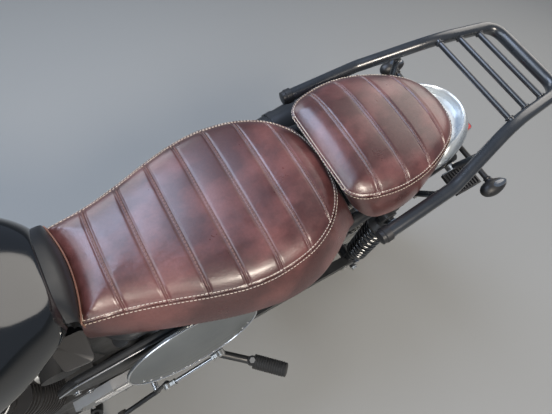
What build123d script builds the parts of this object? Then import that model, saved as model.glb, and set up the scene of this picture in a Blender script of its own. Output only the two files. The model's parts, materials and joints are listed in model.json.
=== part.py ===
"""A scrambler motorcycle that leans on its side stand, as separate pieces.

The motorcycle is drawn upright: X points forward, Y to the rider's left, Z up, with the
ground at z = 0. At the end every piece is leaned over to the left about the line through
the tyres, as it parks, and the origin is set on the ground under the middle of the outline.
"""
from build123d import *
import math
import os

# Wheels and stance, in millimetres and degrees
WHEELBASE = 1495
REAR_AXLE_X = -740
REAR_TYRE_RADIUS = 325
REAR_TYRE_WIDTH = 126
REAR_RIM_RADIUS = 222
FRONT_TYRE_RADIUS = 337
FRONT_TYRE_WIDTH = 108
FRONT_RIM_RADIUS = 247
RAKE = 27
TRAIL = 110
LEAN = 10
STEER_LIMIT = 33
ORIGIN_X = -8
ORIGIN_Y = 182

# Gaps: between two fixed pieces, and round a turning axle
SEAT_GAP = 0.3
BEARING_GAP = 1

FRONT_AXLE_X = REAR_AXLE_X + WHEELBASE
REAR_AXLE = (REAR_AXLE_X, 0, REAR_TYRE_RADIUS)
FRONT_AXLE = (FRONT_AXLE_X, 0, FRONT_TYRE_RADIUS)
SIDES = (-1, 1)

nodes = {}


# Shapes that many pieces share

def add(name, *shapes):
    """Keep one piece, fused from its shapes, under its node's name."""
    nodes[name] = shapes[0] if len(shapes) == 1 else Part() + list(shapes)


def rod(start, end, diameter, end_diameter=None):
    """A round bar, tapered where it has a second diameter, from one point to another."""
    run = Vector(*end) - Vector(*start)
    ends = (Align.CENTER, Align.CENTER, Align.MIN)
    if end_diameter is None:
        shape = Cylinder(diameter / 2, run.length, align=ends)
    else:
        shape = Cone(diameter / 2, end_diameter / 2, run.length, align=ends)
    return Plane(origin=start, z_dir=run) * shape


def tube(points, diameter, bend):
    """A bent round bar: straight runs joined by arcs of one bend radius."""
    path = FilletPolyline(*points, radius=bend)
    section = Plane(origin=path @ 0, z_dir=path % 0) * Circle(diameter / 2)
    return sweep(section, path=path)


def flip(point):
    """The same point on the other side."""
    return (point[0], -point[1], point[2])


def both(shape):
    """A piece and its mirror image on the other side, as one."""
    return Part() + [shape, mirror(shape, about=Plane.XZ)]


def outline(*points):
    """A flat face with straight edges."""
    return make_face(Polyline(*points, close=True))


def side_plate(face, inner_y, outer_y):
    """A face drawn in X and Z, made solid between two distances from the middle plane."""
    left = max(inner_y, outer_y)
    sketch = Plane(origin=(0, left, 0), x_dir=(1, 0, 0), z_dir=(0, -1, 0)) * face
    return extrude(sketch, abs(outer_y - inner_y), dir=(0, -1, 0))


def side_disc(centre, diameter, inner_y, outer_y):
    """A round plate that faces sideways, at a centre's X and Z."""
    return rod((centre[0], inner_y, centre[2]), (centre[0], outer_y, centre[2]), diameter)


def spun(centre, face, start=90, arc=360):
    """A face drawn as (y, radius), turned about a wheel's axle from a start angle backwards."""
    angle = math.radians(start)
    plane = Plane(origin=centre, x_dir=(0, 1, 0), z_dir=(math.sin(angle), 0, -math.cos(angle)))
    return revolve(plane * face, axis=Axis(centre, (0, -1, 0)), revolution_arc=arc)


def ring(centre, axis, inner, outer, height):
    """A clamp ring round a tube, from a centre along an axis."""
    run = Vector(*axis) * height
    low = Vector(*centre) - run * 0.5
    high = low + run
    ends = ((low.X, low.Y, low.Z), (high.X, high.Y, high.Z))
    return rod(*ends, outer) - rod(*ends, inner)


def block(low, high, radius=0):
    """A box between two corners, with its upright edges rounded."""
    size = [top - bottom for top, bottom in zip(high, low)]
    shape = Pos(*low) * Box(*size, align=(Align.MIN, Align.MIN, Align.MIN))
    return fillet(shape.edges().filter_by(Axis.Z), radius) if radius else shape


# Wheels

SPOKE = 4.5
SPOKE_PAIRS = 9
SPOKE_LEAD = 38
FRONT_HUB = 50
FRONT_FLANGE = 112
FRONT_FLANGE_Y = 40
REAR_HUB = 62
REAR_FLANGE = 132
REAR_FLANGE_Y = 52
FRONT_AXLE_DIAMETER = 17
REAR_AXLE_DIAMETER = 20
RIM_SHARE = 0.33


def tyre(centre, radius, width, rim_radius):
    """A solid ring with a round crown, bulging walls and a straight seat on the rim."""
    bead = width * RIM_SHARE
    shoulder = radius - 0.2 * (radius - rim_radius)
    middle = (radius + rim_radius) / 2
    seat = rim_radius + SEAT_GAP
    face = make_face([
        ThreePointArc((-0.46 * width, shoulder), (0, radius), (0.46 * width, shoulder)),
        ThreePointArc((0.46 * width, shoulder), (0.5 * width, middle), (bead, seat)),
        Line((bead, seat), (-bead, seat)),
        ThreePointArc((-bead, seat), (-0.5 * width, middle), (-0.46 * width, shoulder))])
    return spun(centre, face)


def spoked_wheel(centre, rim_radius, width, hub, flange, flange_y, bore):
    """Rim, hub and crossed spokes, joined as one piece."""
    bead = width * RIM_SHARE
    well = rim_radius - 18
    pieces = [
        spun(centre, outline(
            (-bead, rim_radius), (-bead, rim_radius - 9), (-bead / 2, well - 4), (bead / 2, well - 4),
            (bead, rim_radius - 9), (bead, rim_radius))),
        side_disc(centre, hub, -flange_y, flange_y)]
    for side in SIDES:
        pieces.append(side_disc(centre, flange, side * (flange_y - 7), side * flange_y))
        for count in range(2 * SPOKE_PAIRS):
            lead = SPOKE_LEAD if count % 2 else -SPOKE_LEAD
            hub_angle = math.radians(360 * count / (2 * SPOKE_PAIRS))
            rim_angle = hub_angle + math.radians(lead + 5 * side)
            hub_reach = flange / 2 - 6
            start = (
                centre[0] + hub_reach * math.cos(hub_angle), side * (flange_y - 3.5 + lead / 20),
                centre[2] + hub_reach * math.sin(hub_angle))
            end = (
                centre[0] + well * math.cos(rim_angle), side * bead / 4,
                centre[2] + well * math.sin(rim_angle))
            pieces.append(rod(start, end, SPOKE))
    return Part() + pieces - side_disc(centre, bore, -flange_y - 1, flange_y + 1)


FRONT_DISC = 300
FRONT_DISC_Y = (57, 62)
REAR_DISC = 240
REAR_DISC_Y = (-80, -75)
SPROCKET_Y = (73, 79)
CHAIN_Y = (68.5, 83.5)
REAR_PITCH_RADIUS = 109
FRONT_PITCH_RADIUS = 41
CHAIN_HALF_HEIGHT = 6
FRONT_SPROCKET = (-95, 0, 395)
TOOTH_GAP = 2


def brake_disc(centre, diameter, faces, flange_y, bore):
    """A braking ring with an open web and its carrier on the hub."""
    side = 1 if faces[0] > 0 else -1
    inner, outer = sorted(abs(face) for face in faces)
    ring = side_disc(centre, diameter, side * inner, side * outer)
    ring -= side_disc(centre, diameter - 70, side * (inner - 1), side * (outer + 1))
    web = [side_disc(centre, 100, side * inner, side * outer)]
    for count in range(5):
        angle = 72 * count
        arm = block((centre[0], side * inner if side > 0 else -outer, centre[2] - 10),
                    (centre[0] + diameter / 2 - 30, outer if side > 0 else -inner, centre[2] + 10))
        web.append(arm.rotate(Axis(centre, (0, 1, 0)), angle))
    carrier = side_disc(centre, 80, side * (flange_y + SEAT_GAP), side * inner)
    return Part() + [ring, *web, carrier] - side_disc(centre, bore, side * (flange_y - 1), side * (outer + 1))


def sprocket():
    """The chain wheel on the rear hub's left side."""
    reach = REAR_PITCH_RADIUS - CHAIN_HALF_HEIGHT - TOOTH_GAP
    plate = side_disc(REAR_AXLE, 2 * reach, *SPROCKET_Y)
    holes = []
    for count in range(6):
        angle = math.radians(60 * count)
        place = (REAR_AXLE_X + 66 * math.cos(angle), 0, REAR_TYRE_RADIUS + 66 * math.sin(angle))
        holes.append(side_disc(place, 34, SPROCKET_Y[0] - 1, SPROCKET_Y[1] + 1))
    carrier = side_disc(REAR_AXLE, 84, REAR_FLANGE_Y + SEAT_GAP, SPROCKET_Y[0])
    bore = side_disc(REAR_AXLE, REAR_AXLE_DIAMETER + 2 * BEARING_GAP, REAR_FLANGE_Y - 1, SPROCKET_Y[1] + 1)
    return Part() + [plate, carrier] - [*holes, bore]


def chain_loop(reach):
    """The face inside a belt line round both sprockets, at a distance from the pitch circles."""
    rear = Pos(REAR_AXLE_X, REAR_TYRE_RADIUS) * Circle(REAR_PITCH_RADIUS + reach)
    front = Pos(FRONT_SPROCKET[0], FRONT_SPROCKET[2]) * Circle(FRONT_PITCH_RADIUS + reach)
    return make_hull([*rear.edges(), *front.edges()])


def wheels():
    """Both wheels with what turns on them."""
    front_bore = FRONT_AXLE_DIAMETER + 2 * BEARING_GAP
    rear_bore = REAR_AXLE_DIAMETER + 2 * BEARING_GAP
    add("front_tyre", tyre(FRONT_AXLE, FRONT_TYRE_RADIUS, FRONT_TYRE_WIDTH, FRONT_RIM_RADIUS))
    add("front_wheel", spoked_wheel(
        FRONT_AXLE, FRONT_RIM_RADIUS, FRONT_TYRE_WIDTH, FRONT_HUB, FRONT_FLANGE, FRONT_FLANGE_Y, front_bore))
    add("front_brake_disc", brake_disc(FRONT_AXLE, FRONT_DISC, FRONT_DISC_Y, FRONT_FLANGE_Y, front_bore))
    add("rear_tyre", tyre(REAR_AXLE, REAR_TYRE_RADIUS, REAR_TYRE_WIDTH, REAR_RIM_RADIUS))
    add("rear_wheel", spoked_wheel(
        REAR_AXLE, REAR_RIM_RADIUS, REAR_TYRE_WIDTH, REAR_HUB, REAR_FLANGE, REAR_FLANGE_Y, rear_bore))
    add("rear_brake_disc", brake_disc(REAR_AXLE, REAR_DISC, REAR_DISC_Y, REAR_FLANGE_Y, rear_bore))
    add("rear_sprocket", sprocket())


# Steering: places are given up the fork legs from the axle, ahead of the legs, and to the left

SLOPE = math.radians(RAKE)
AXIS_OFFSET = FRONT_TYRE_RADIUS * math.sin(SLOPE) - TRAIL * math.cos(SLOPE)
FORK_UP = (-math.sin(SLOPE), 0, math.cos(SLOPE))
LEG_Y = 100
STANCHION = 41
SLIDER = 56
SLIDER_TOP = 250
TOP_YOKE_UP = 640
YOKE_SPREAD = 162
LOWER_YOKE_UP = TOP_YOKE_UP - YOKE_SPREAD
YOKE_THICK = 30
STEM = 26
GAITER_FOLDS = 8
GAITER_SMALL = 26
GAITER_LARGE = 33
BAR = 22
BAR_BORE = 15
BAR_BORE_LENGTH = 60
GRIP = 34
GRIP_LENGTH = 125
LAMP_RADIUS = 88
LAMP_DEPTH = 110
LAMP_BELOW_YOKE = 138
LAMP_AHEAD = 144
CLOCK_RADIUS = 50


def on_fork(up, ahead, y):
    """A point given up the legs, ahead of them and to the left."""
    return (
        FRONT_AXLE_X - up * math.sin(SLOPE) + ahead * math.cos(SLOPE), y,
        FRONT_TYRE_RADIUS + up * math.cos(SLOPE) + ahead * math.sin(SLOPE))


LAMP_CENTRE = on_fork(TOP_YOKE_UP - LAMP_BELOW_YOKE, LAMP_AHEAD, 0)
BAR_CENTRE = on_fork(TOP_YOKE_UP + 96, -AXIS_OFFSET + 10, 0)
BAR_POINTS = [
    (BAR_CENTRE[0], 0, BAR_CENTRE[2]),
    (BAR_CENTRE[0], 90, BAR_CENTRE[2]),
    (BAR_CENTRE[0] - 42, 235, BAR_CENTRE[2] + 72),
    (BAR_CENTRE[0] - 100, 412, BAR_CENTRE[2] + 66)]


def along_grip(distance, y_step=0, ahead=0, up=0):
    """A point inward from the left end of the handlebar, with small steps from it."""
    end = Vector(*BAR_POINTS[3])
    inward = (Vector(*BAR_POINTS[2]) - end).normalized()
    place = end + inward * distance
    return (place.X + ahead, place.Y + y_step, place.Z + up)


def yoke(up):
    """A plate that clamps both legs and carries the stem."""
    plane = Plane(origin=on_fork(up, 0, 0), x_dir=(0, -1, 0), z_dir=FORK_UP)
    face = Polygon(
        (-LEG_Y, 22), (LEG_Y, 22), (LEG_Y, -22), (30, -AXIS_OFFSET - 26), (-30, -AXIS_OFFSET - 26),
        (-LEG_Y, -22), align=None)
    face = Sketch() + [face, *[Pos(side * LEG_Y, 0) * Circle(STANCHION / 2 + 10) for side in SIDES]]
    face -= [Pos(side * LEG_Y, 0) * Circle(STANCHION / 2 + SEAT_GAP) for side in SIDES]
    return extrude(plane * face, YOKE_THICK, dir=FORK_UP)


def gaiter():
    """A rubber bellows round the left upper leg."""
    low = on_fork(SLIDER_TOP + 2, 0, LEG_Y)
    length = LOWER_YOKE_UP - SLIDER_TOP - 4
    fold = length / GAITER_FOLDS
    inner = STANCHION / 2 + SEAT_GAP
    points = [(inner, 0)]
    for count in range(GAITER_FOLDS):
        points += [(GAITER_SMALL, count * fold), (GAITER_LARGE, (count + 0.5) * fold)]
    points += [(GAITER_SMALL, length), (inner, length)]
    across = Vector(0, 1, 0).cross(Vector(*FORK_UP))
    face = Plane(origin=low, x_dir=(0, 1, 0), z_dir=across) * outline(*points)
    return revolve(face, axis=Axis(low, FORK_UP))


def fork_leg():
    """The left leg: slider with its axle foot, and the tube above."""
    return Part() + [
        rod(on_fork(-34, 0, LEG_Y), on_fork(SLIDER_TOP, 0, LEG_Y), SLIDER),
        rod(on_fork(SLIDER_TOP, 0, LEG_Y), on_fork(TOP_YOKE_UP + YOKE_THICK + 8, 0, LEG_Y), STANCHION)]


def guard(centre, inner, half, wall, drop, start, arc):
    """A mudguard: a thin arched section carried part of the way round a wheel."""
    face = make_face([
        ThreePointArc((-half, inner - drop), (0, inner + wall), (half, inner - drop)),
        Line((half, inner - drop), (half - wall, inner - drop)),
        ThreePointArc((half - wall, inner - drop), (0, inner), (-half + wall, inner - drop)),
        Line((-half + wall, inner - drop), (-half, inner - drop))])
    return spun(centre, face, start, arc)


def guard_top(x, radius):
    """The height of the rear guard's middle line at a distance along the motorcycle."""
    return REAR_TYRE_RADIUS + math.sqrt(radius ** 2 - (x - REAR_AXLE_X) ** 2)


def front_mudguard():
    """The front guard with a stay to each leg."""
    inner = FRONT_TYRE_RADIUS + 14
    half = FRONT_TYRE_WIDTH / 2 + 7
    blade = guard(FRONT_AXLE, inner, half, 3, 20, 48, 112)
    stays = []
    for side in SIDES:
        stays.append(rod(
            on_fork(200, 0, side * (LEG_Y - SLIDER / 2 - SEAT_GAP)), on_fork(200, 0, side * (half + 1)), 24))
        for reach in (30, -50):
            foot = on_fork(200, 0, side * (half + 3))
            stays.append(rod(foot, on_fork(inner - 20, reach, side * (half - 1)), 7))
    return [blade, *stays]


def headlamp():
    """A round bowl with its two brackets, and its glass."""
    face = LAMP_CENTRE[0]
    profile = make_face([
        Line((0, 0), (0, LAMP_RADIUS)),
        Line((0, LAMP_RADIUS), (-14, LAMP_RADIUS)),
        ThreePointArc((-14, LAMP_RADIUS), (-74, 0.72 * LAMP_RADIUS), (-LAMP_DEPTH, 0)),
        Line((-LAMP_DEPTH, 0), (0, 0))])
    plane = Plane(origin=LAMP_CENTRE, x_dir=(1, 0, 0), z_dir=(0, -1, 0))
    bowl = revolve(plane * profile, axis=Axis(LAMP_CENTRE, (1, 0, 0)))
    pocket = rod((face - 6, 0, LAMP_CENTRE[2]), (face + 1, 0, LAMP_CENTRE[2]), 2 * LAMP_RADIUS - 14)
    ears = []
    leg_up = (LAMP_CENTRE[2] - FRONT_TYRE_RADIUS) / math.cos(SLOPE)
    for side in SIDES:
        leg = on_fork(leg_up, 0, side * LEG_Y)
        ears.append(ring(leg, FORK_UP, STANCHION + 2 * SEAT_GAP, STANCHION + 16, 30))
        start = on_fork(leg_up, STANCHION / 2 + 7, side * LEG_Y)
        ears.append(rod(start, (face - 24, side * (LAMP_RADIUS - 8), LAMP_CENTRE[2]), 16))
    add("headlamp", Part() + [bowl, *ears] - pocket)
    rim = LAMP_RADIUS - 7 - SEAT_GAP
    glass = make_face([
        Line((-6 + SEAT_GAP, 0), (16, 0)),
        ThreePointArc((16, 0), (12, 0.5 * rim), (0, rim)),
        Line((0, rim), (-6 + SEAT_GAP, rim)),
        Line((-6 + SEAT_GAP, rim), (-6 + SEAT_GAP, 0))])
    add("headlamp_glass", revolve(plane * glass, axis=Axis(LAMP_CENTRE, (1, 0, 0))))


def handlebar():
    """A wide bent bar with its two clamps on the top yoke."""
    left = BAR_POINTS
    points = [flip(point) for point in reversed(left[1:])] + left[1:]
    bore = rod(along_grip(-1), along_grip(BAR_BORE_LENGTH), BAR_BORE)
    bar = tube(points, BAR, 60) - both(bore)
    top = on_fork(TOP_YOKE_UP + YOKE_THICK + SEAT_GAP, -AXIS_OFFSET + 10, 0)
    risers = []
    for side in SIDES:
        foot = (top[0], side * 42, top[2])
        risers.append(rod(foot, (BAR_CENTRE[0], side * 42, BAR_CENTRE[2]), 34))
        clamp = (BAR_CENTRE[0], side * 24, BAR_CENTRE[2])
        risers.append(rod(clamp, (clamp[0], side * 60, clamp[2]), 40))
    return [bar, *risers]


def grip():
    """The left rubber grip, a sleeve on the bar."""
    outer = rod(along_grip(0), along_grip(GRIP_LENGTH), GRIP)
    return outer - rod(along_grip(-1), along_grip(GRIP_LENGTH + 1), BAR + 2 * SEAT_GAP)


def hand_control():
    """The left switch housing with its lever."""
    housing = rod(along_grip(GRIP_LENGTH + 2), along_grip(GRIP_LENGTH + 48), 46)
    housing -= rod(along_grip(GRIP_LENGTH - 2), along_grip(GRIP_LENGTH + 52), BAR + 2 * SEAT_GAP)
    perch = rod(along_grip(GRIP_LENGTH + 30, ahead=20), along_grip(GRIP_LENGTH + 14, ahead=52), 20)
    lever = tube([
        along_grip(GRIP_LENGTH + 20, ahead=46), along_grip(GRIP_LENGTH - 30, ahead=72, up=-4),
        along_grip(-2, ahead=58, up=-6)], 11, 30)
    return Part() + [housing, perch, lever]


def rear_mirror():
    """The left mirror: a stalk from the switch housing and a round head."""
    base = along_grip(GRIP_LENGTH + 25, up=23.6)
    bend = along_grip(GRIP_LENGTH + 25, up=50)
    head = along_grip(60, up=160, ahead=26)
    start = (head[0] - 8, head[1], head[2])
    return Part() + [
        tube([base, bend, head], 10, 14),
        rod(start, (head[0] + 14, head[1], head[2]), 104, 84)]


def front_indicator():
    """The left front indicator on its stem from the leg."""
    root = on_fork(TOP_YOKE_UP - 30, 0, LEG_Y + STANCHION / 2 + SEAT_GAP)
    tip = (root[0], root[1] + 46, root[2])
    return Part() + [
        rod(root, tip, 14),
        rod((tip[0] - 30, tip[1] + 8, tip[2]), (tip[0] + 30, tip[1] + 8, tip[2]), 30, 40)]


def steering():
    """Everything that turns with the handlebar, without the wheel."""
    stem_top = on_fork(TOP_YOKE_UP + YOKE_THICK + 6, -AXIS_OFFSET, 0)
    stem = rod(on_fork(LOWER_YOKE_UP, -AXIS_OFFSET, 0), stem_top, STEM)
    add("fork_yokes", yoke(LOWER_YOKE_UP), yoke(TOP_YOKE_UP), stem)
    axle = side_disc(FRONT_AXLE, FRONT_AXLE_DIAMETER, -LEG_Y, LEG_Y)
    add("fork_legs", both(fork_leg()), axle)
    add("fork_gaiters", both(gaiter()))
    add("front_mudguard", *front_mudguard())
    headlamp()
    add("handlebar", *handlebar())
    add("handlebar_grips", both(grip()))
    add("hand_controls", both(hand_control()))
    add("mirrors", both(rear_mirror()))
    clock_top = TOP_YOKE_UP + YOKE_THICK
    add("clock",
        rod(on_fork(clock_top + SEAT_GAP, 8, 0), on_fork(clock_top + 36, 8, 0), 18),
        rod(on_fork(clock_top + 30, 6, 0), on_fork(clock_top + 30, 44, 0), 12),
        rod(on_fork(clock_top + 22, 50, 0), on_fork(clock_top + 74, 50, 0),
            1.6 * CLOCK_RADIUS, 2 * CLOCK_RADIUS))
    caliper = Plane(origin=on_fork(128, -70, 64), x_dir=(0, 1, 0), z_dir=FORK_UP) * Box(46, 50, 92)
    slot = side_disc(FRONT_AXLE, FRONT_DISC + 12, FRONT_DISC_Y[0] - 5, FRONT_DISC_Y[1] + 5)
    lugs = [rod(on_fork(up, -60, 92), on_fork(up, -SLIDER / 2 - SEAT_GAP, 92), 20) for up in (98, 158)]
    add("front_brake_caliper", Part() + [caliper, *lugs] - slot)
    add("front_indicators", both(front_indicator()))


# Frame

FRAME_TUBE = 28
FRAME_Y = 100
BACKBONE = 54
HEAD_TUBE = 62
RAIL_RISE = 417
RAIL_Z = REAR_TYRE_RADIUS + RAIL_RISE
SPINE_BEND = (60, 0, RAIL_Z + 53)
SPINE_END = (-95, 0, RAIL_Z + 20)
CRADLE_Z = 205
PIVOT = (-190, 0, 390)
PIVOT_BOLT = 16
PLATE_Y = (90, 112)
FRAME_SIDE = FRAME_Y + FRAME_TUBE / 2 + SEAT_GAP
RAIL_END = (-880, 90, RAIL_Z + 6)
STRUT_TOP = (-640, 111, RAIL_Z - 4)
SHOCK_TOP = (-690, 129, RAIL_Z - 37)
SHOCK_LOW = (REAR_AXLE_X + 12, 129, REAR_TYRE_RADIUS + 59)
HEAD_TOP = on_fork(TOP_YOKE_UP - SEAT_GAP, -AXIS_OFFSET, 0)
SPINE_START = on_fork(TOP_YOKE_UP - 55, -AXIS_OFFSET, 0)
TUNNEL_HALF = 37
TANK_BOBBINS_X = (60, 270)


def spine_height(x):
    """The height of the spine's middle line ahead of its bend."""
    share = (x - SPINE_BEND[0]) / (SPINE_START[0] - SPINE_BEND[0])
    return SPINE_BEND[2] + share * (SPINE_START[2] - SPINE_BEND[2])


def frame():
    """The welded frame: head tube, backbone, cradle, pivot plates and seat rails."""
    head_low = on_fork(LOWER_YOKE_UP + YOKE_THICK + SEAT_GAP, -AXIS_OFFSET, 0)
    head = rod(head_low, HEAD_TOP, HEAD_TUBE)
    spine = [
        rod(SPINE_START, SPINE_BEND, BACKBONE),
        rod(SPINE_BEND, SPINE_END, BACKBONE, BACKBONE - 10),
        Pos(*SPINE_BEND) * Sphere(BACKBONE / 2)]
    down_start = on_fork(LOWER_YOKE_UP + YOKE_THICK + 52, -AXIS_OFFSET - 22, 14)
    cradle = tube([
        down_start, (345, 72, 470), (285, FRAME_Y - 6, 250), (225, FRAME_Y, CRADLE_Z),
        (-125, FRAME_Y, CRADLE_Z), (-205, FRAME_Y, 300), (-205, FRAME_Y, 500), (-152, FRAME_Y, RAIL_Z - 4)],
        FRAME_TUBE, 28)
    rail = tube([
        (-84, 12, RAIL_Z), (-160, FRAME_Y, RAIL_Z), (-600, 112, RAIL_Z), RAIL_END], FRAME_TUBE - 2, 40)
    strut = rod((-205, FRAME_Y, 480), STRUT_TOP, FRAME_TUBE - 6)
    plate = side_plate(outline(
        (-150, 330), (-150, 470), (-215, 500), (-240, 440), (-240, 350), (-205, 300)), *PLATE_Y)
    shock_lug = rod((SHOCK_TOP[0], 108, SHOCK_TOP[2]), (SHOCK_TOP[0], SHOCK_TOP[1] + 14, SHOCK_TOP[2]), 16)
    lug_web = rod((SHOCK_TOP[0], 110, SHOCK_TOP[2]), (SHOCK_TOP[0], 110, RAIL_Z), 22)
    cross = rod(flip(RAIL_END), RAIL_END, FRAME_TUBE - 4)
    guard_cross = rod(flip(STRUT_TOP), STRUT_TOP, FRAME_TUBE - 8)
    bobbins = []
    for x in TANK_BOBBINS_X:
        reach = TUNNEL_HALF - SEAT_GAP
        bobbins.append(rod((x, -reach, spine_height(x)), (x, reach, spine_height(x)), 26))
    low_cross = rod((-125, -FRAME_Y, CRADLE_Z), (-125, FRAME_Y, CRADLE_Z), FRAME_TUBE - 4)
    sides = both(Part() + [cradle, rail, strut, plate, shock_lug, lug_web])
    body = Part() + [head, *spine, sides, cross, guard_cross, low_cross, *bobbins, stand_lug()]
    body -= rod(on_fork(LOWER_YOKE_UP, -AXIS_OFFSET, 0), on_fork(TOP_YOKE_UP + 20, -AXIS_OFFSET, 0), STEM + 6)
    return body - side_disc(PIVOT, PIVOT_BOLT + 2 * SEAT_GAP, -FRAME_Y - 30, FRAME_Y + 30)


ARM_Y = (116, 142)
ARM_HEIGHT = 52
SPOOL_X = REAR_AXLE_X + 72
SPOOL_BORE = 8
SPOOL_DEPTH = 20
BRACE_X = -345


def arm_height(x):
    """The height of the swinging arm's middle line."""
    share = (x - REAR_AXLE_X) / (PIVOT[0] - REAR_AXLE_X)
    return REAR_TYRE_RADIUS + share * (PIVOT[2] - REAR_TYRE_RADIUS)


def swingarm():
    """Two box arms outside the frame, with a brace, the pivot bolt, the axle and its spacers."""
    half = ARM_HEIGHT / 2
    arm = side_plate(outline(
        (PIVOT[0] + 24, PIVOT[2] + half), (PIVOT[0] + 24, PIVOT[2] - half),
        (REAR_AXLE_X - 45, REAR_TYRE_RADIUS - half), (REAR_AXLE_X - 45, REAR_TYRE_RADIUS + half)), *ARM_Y)
    shock_stud = rod((SHOCK_LOW[0], ARM_Y[0], SHOCK_LOW[2]), (SHOCK_LOW[0], ARM_Y[1], SHOCK_LOW[2]), 16)
    ear = side_plate(outline(
        (SHOCK_LOW[0] - 26, REAR_TYRE_RADIUS + 20), (SHOCK_LOW[0] + 26, REAR_TYRE_RADIUS + 20),
        (SHOCK_LOW[0] + 12, SHOCK_LOW[2] + 12),
        (SHOCK_LOW[0] - 12, SHOCK_LOW[2] + 12)), ARM_Y[0], ARM_Y[0] + 5)
    spacer = side_disc(REAR_AXLE, 34, SPROCKET_Y[1] + 6, ARM_Y[0])
    brace = side_disc((BRACE_X, 0, arm_height(BRACE_X)), 40, -ARM_Y[0], ARM_Y[0])
    bolt = side_disc(PIVOT, PIVOT_BOLT, -ARM_Y[1] - 8, ARM_Y[1] + 8)
    axle = side_disc(REAR_AXLE, REAR_AXLE_DIAMETER, -ARM_Y[1] - 12, ARM_Y[1] + 12)
    spool = (SPOOL_X, 0, arm_height(SPOOL_X) + 3)
    spool_hole = side_disc(spool, SPOOL_BORE, ARM_Y[1] - SPOOL_DEPTH, ARM_Y[1] + 1)
    side = Part() + [arm, shock_stud, ear, spacer] - spool_hole
    return [both(side), brace, bolt, axle]


SPRING_RADIUS = 29
SPRING_TURNS = 9


def shock():
    """The left spring and damper: a ribbed spring on its damper, with an eye at each end."""
    top = Vector(*SHOCK_TOP)
    low = Vector(*SHOCK_LOW)
    run = top - low
    length = run.length
    points = [(0, 16), (12, 16), (12, 60), (SPRING_RADIUS, 60), (SPRING_RADIUS, 66)]
    turn = (length - 118) / SPRING_TURNS
    for count in range(SPRING_TURNS):
        base = 68 + count * turn
        points.append((SPRING_RADIUS - 9, base))
        points += [(SPRING_RADIUS, base + turn * 0.3), (SPRING_RADIUS, base + turn * 0.7)]
    points += [(SPRING_RADIUS - 9, length - 50), (SPRING_RADIUS, length - 48), (SPRING_RADIUS, length - 36)]
    points += [(14, length - 30), (14, length - 16), (0, length - 16)]
    plane = Plane(origin=SHOCK_LOW, x_dir=(0, 1, 0), z_dir=Vector(0, 1, 0).cross(run.normalized()))
    body = revolve(plane * outline(*points), axis=Axis(SHOCK_LOW, run))
    eyes = []
    for place in (SHOCK_TOP, SHOCK_LOW):
        eyes.append(side_disc(place, 36, place[1] - 7, place[1] + 7))
    bores = [
        side_disc(place, 16 + 2 * SEAT_GAP, place[1] - 14, place[1] + 14) for place in (SHOCK_TOP, SHOCK_LOW)]
    return Part() + [body, *eyes] - bores


# Engine

CASE_HALF = 112
AIR_BOX_FRONT = -66
CASE_TOP = 470
CASE_FLOOR = CRADLE_Z + FRAME_TUBE / 2 + SEAT_GAP
GEARBOX_LEFT = 60
BARREL_X = 105
BARREL_Y = 58
BARREL = 112
FIN_LENGTH = 186
FIN_WIDTH = 236
FIN_THICK = 4
FIN_STEP = 13
FIN_COUNT = 10
HEAD_Z = 602
HEAD_FIN_COUNT = 4
PORT_Z = 628
PORT_REACH = 104
INTAKE_REACH = 100
COVER_Z = 652
COVER_TOP = 722


def crankcase():
    """The crankcase with its narrower gearbox behind."""
    main = side_plate(outline(
        (-40, CASE_FLOOR), (200, CASE_FLOOR), (238, 262), (240, 330), (205, 420), (165, CASE_TOP),
        (10, CASE_TOP), (-40, 452)), -CASE_HALF, CASE_HALF)
    gearbox = side_plate(outline(
        (-150, 275), (-110, 240), (-30, 232), (-30, 452), (-110, 458), (-150, 430)),
        -CASE_HALF + 22, GEARBOX_LEFT)
    return [main, gearbox]


def fin(z, grow=0):
    """One cooling fin round both barrels."""
    return block(
        (BARREL_X - FIN_LENGTH / 2 - grow, -FIN_WIDTH / 2 - grow, z),
        (BARREL_X + FIN_LENGTH / 2 + grow, FIN_WIDTH / 2 + grow, z + FIN_THICK), 34)


def barrels():
    """Two finned barrels on one base."""
    pieces = [fin(CASE_TOP + SEAT_GAP + 6 + count * FIN_STEP) for count in range(FIN_COUNT)]
    for side in SIDES:
        centre = (BARREL_X, side * BARREL_Y)
        pieces.append(rod((*centre, CASE_TOP + SEAT_GAP), (*centre, HEAD_Z), BARREL))
    return pieces


def cylinder_head():
    """The finned head with its rocker cover and the ports."""
    pieces = [fin(HEAD_Z + SEAT_GAP + 4 + count * FIN_STEP, 2) for count in range(HEAD_FIN_COUNT)]
    pieces.append(block((BARREL_X - 72, -108, HEAD_Z + SEAT_GAP), (BARREL_X + 72, 108, COVER_Z), 20))
    cover = block((BARREL_X - 62, -104, COVER_Z), (BARREL_X + 62, 104, COVER_TOP), 24)
    pieces.append(fillet(cover.edges().group_by(Axis.Z)[-1], 16))
    for side in SIDES:
        pieces.append(rod((BARREL_X + 60, side * 55, PORT_Z), (BARREL_X + PORT_REACH, side * 55, PORT_Z), 48))
        inlet = (BARREL_X - INTAKE_REACH, side * 55, PORT_Z)
        pieces.append(rod((BARREL_X - 60, side * 55, PORT_Z), inlet, 46))
    return pieces


PIPE = 42
PIPE_Y = -174
SILENCER = 82
SILENCER_START_X = -290
SILENCER_END_X = -770
SILENCER_END_Y = -212
UPPER_PIPE_Z = 592
LOWER_PIPE_Z = 506
SHIELD_Y = -205
# Where the bands round each silencer start, and their length, as shares of its straight run
BAND_SHARES = (0.03, 0.62, 0.93)
BAND_SHARE = 0.045


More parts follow.
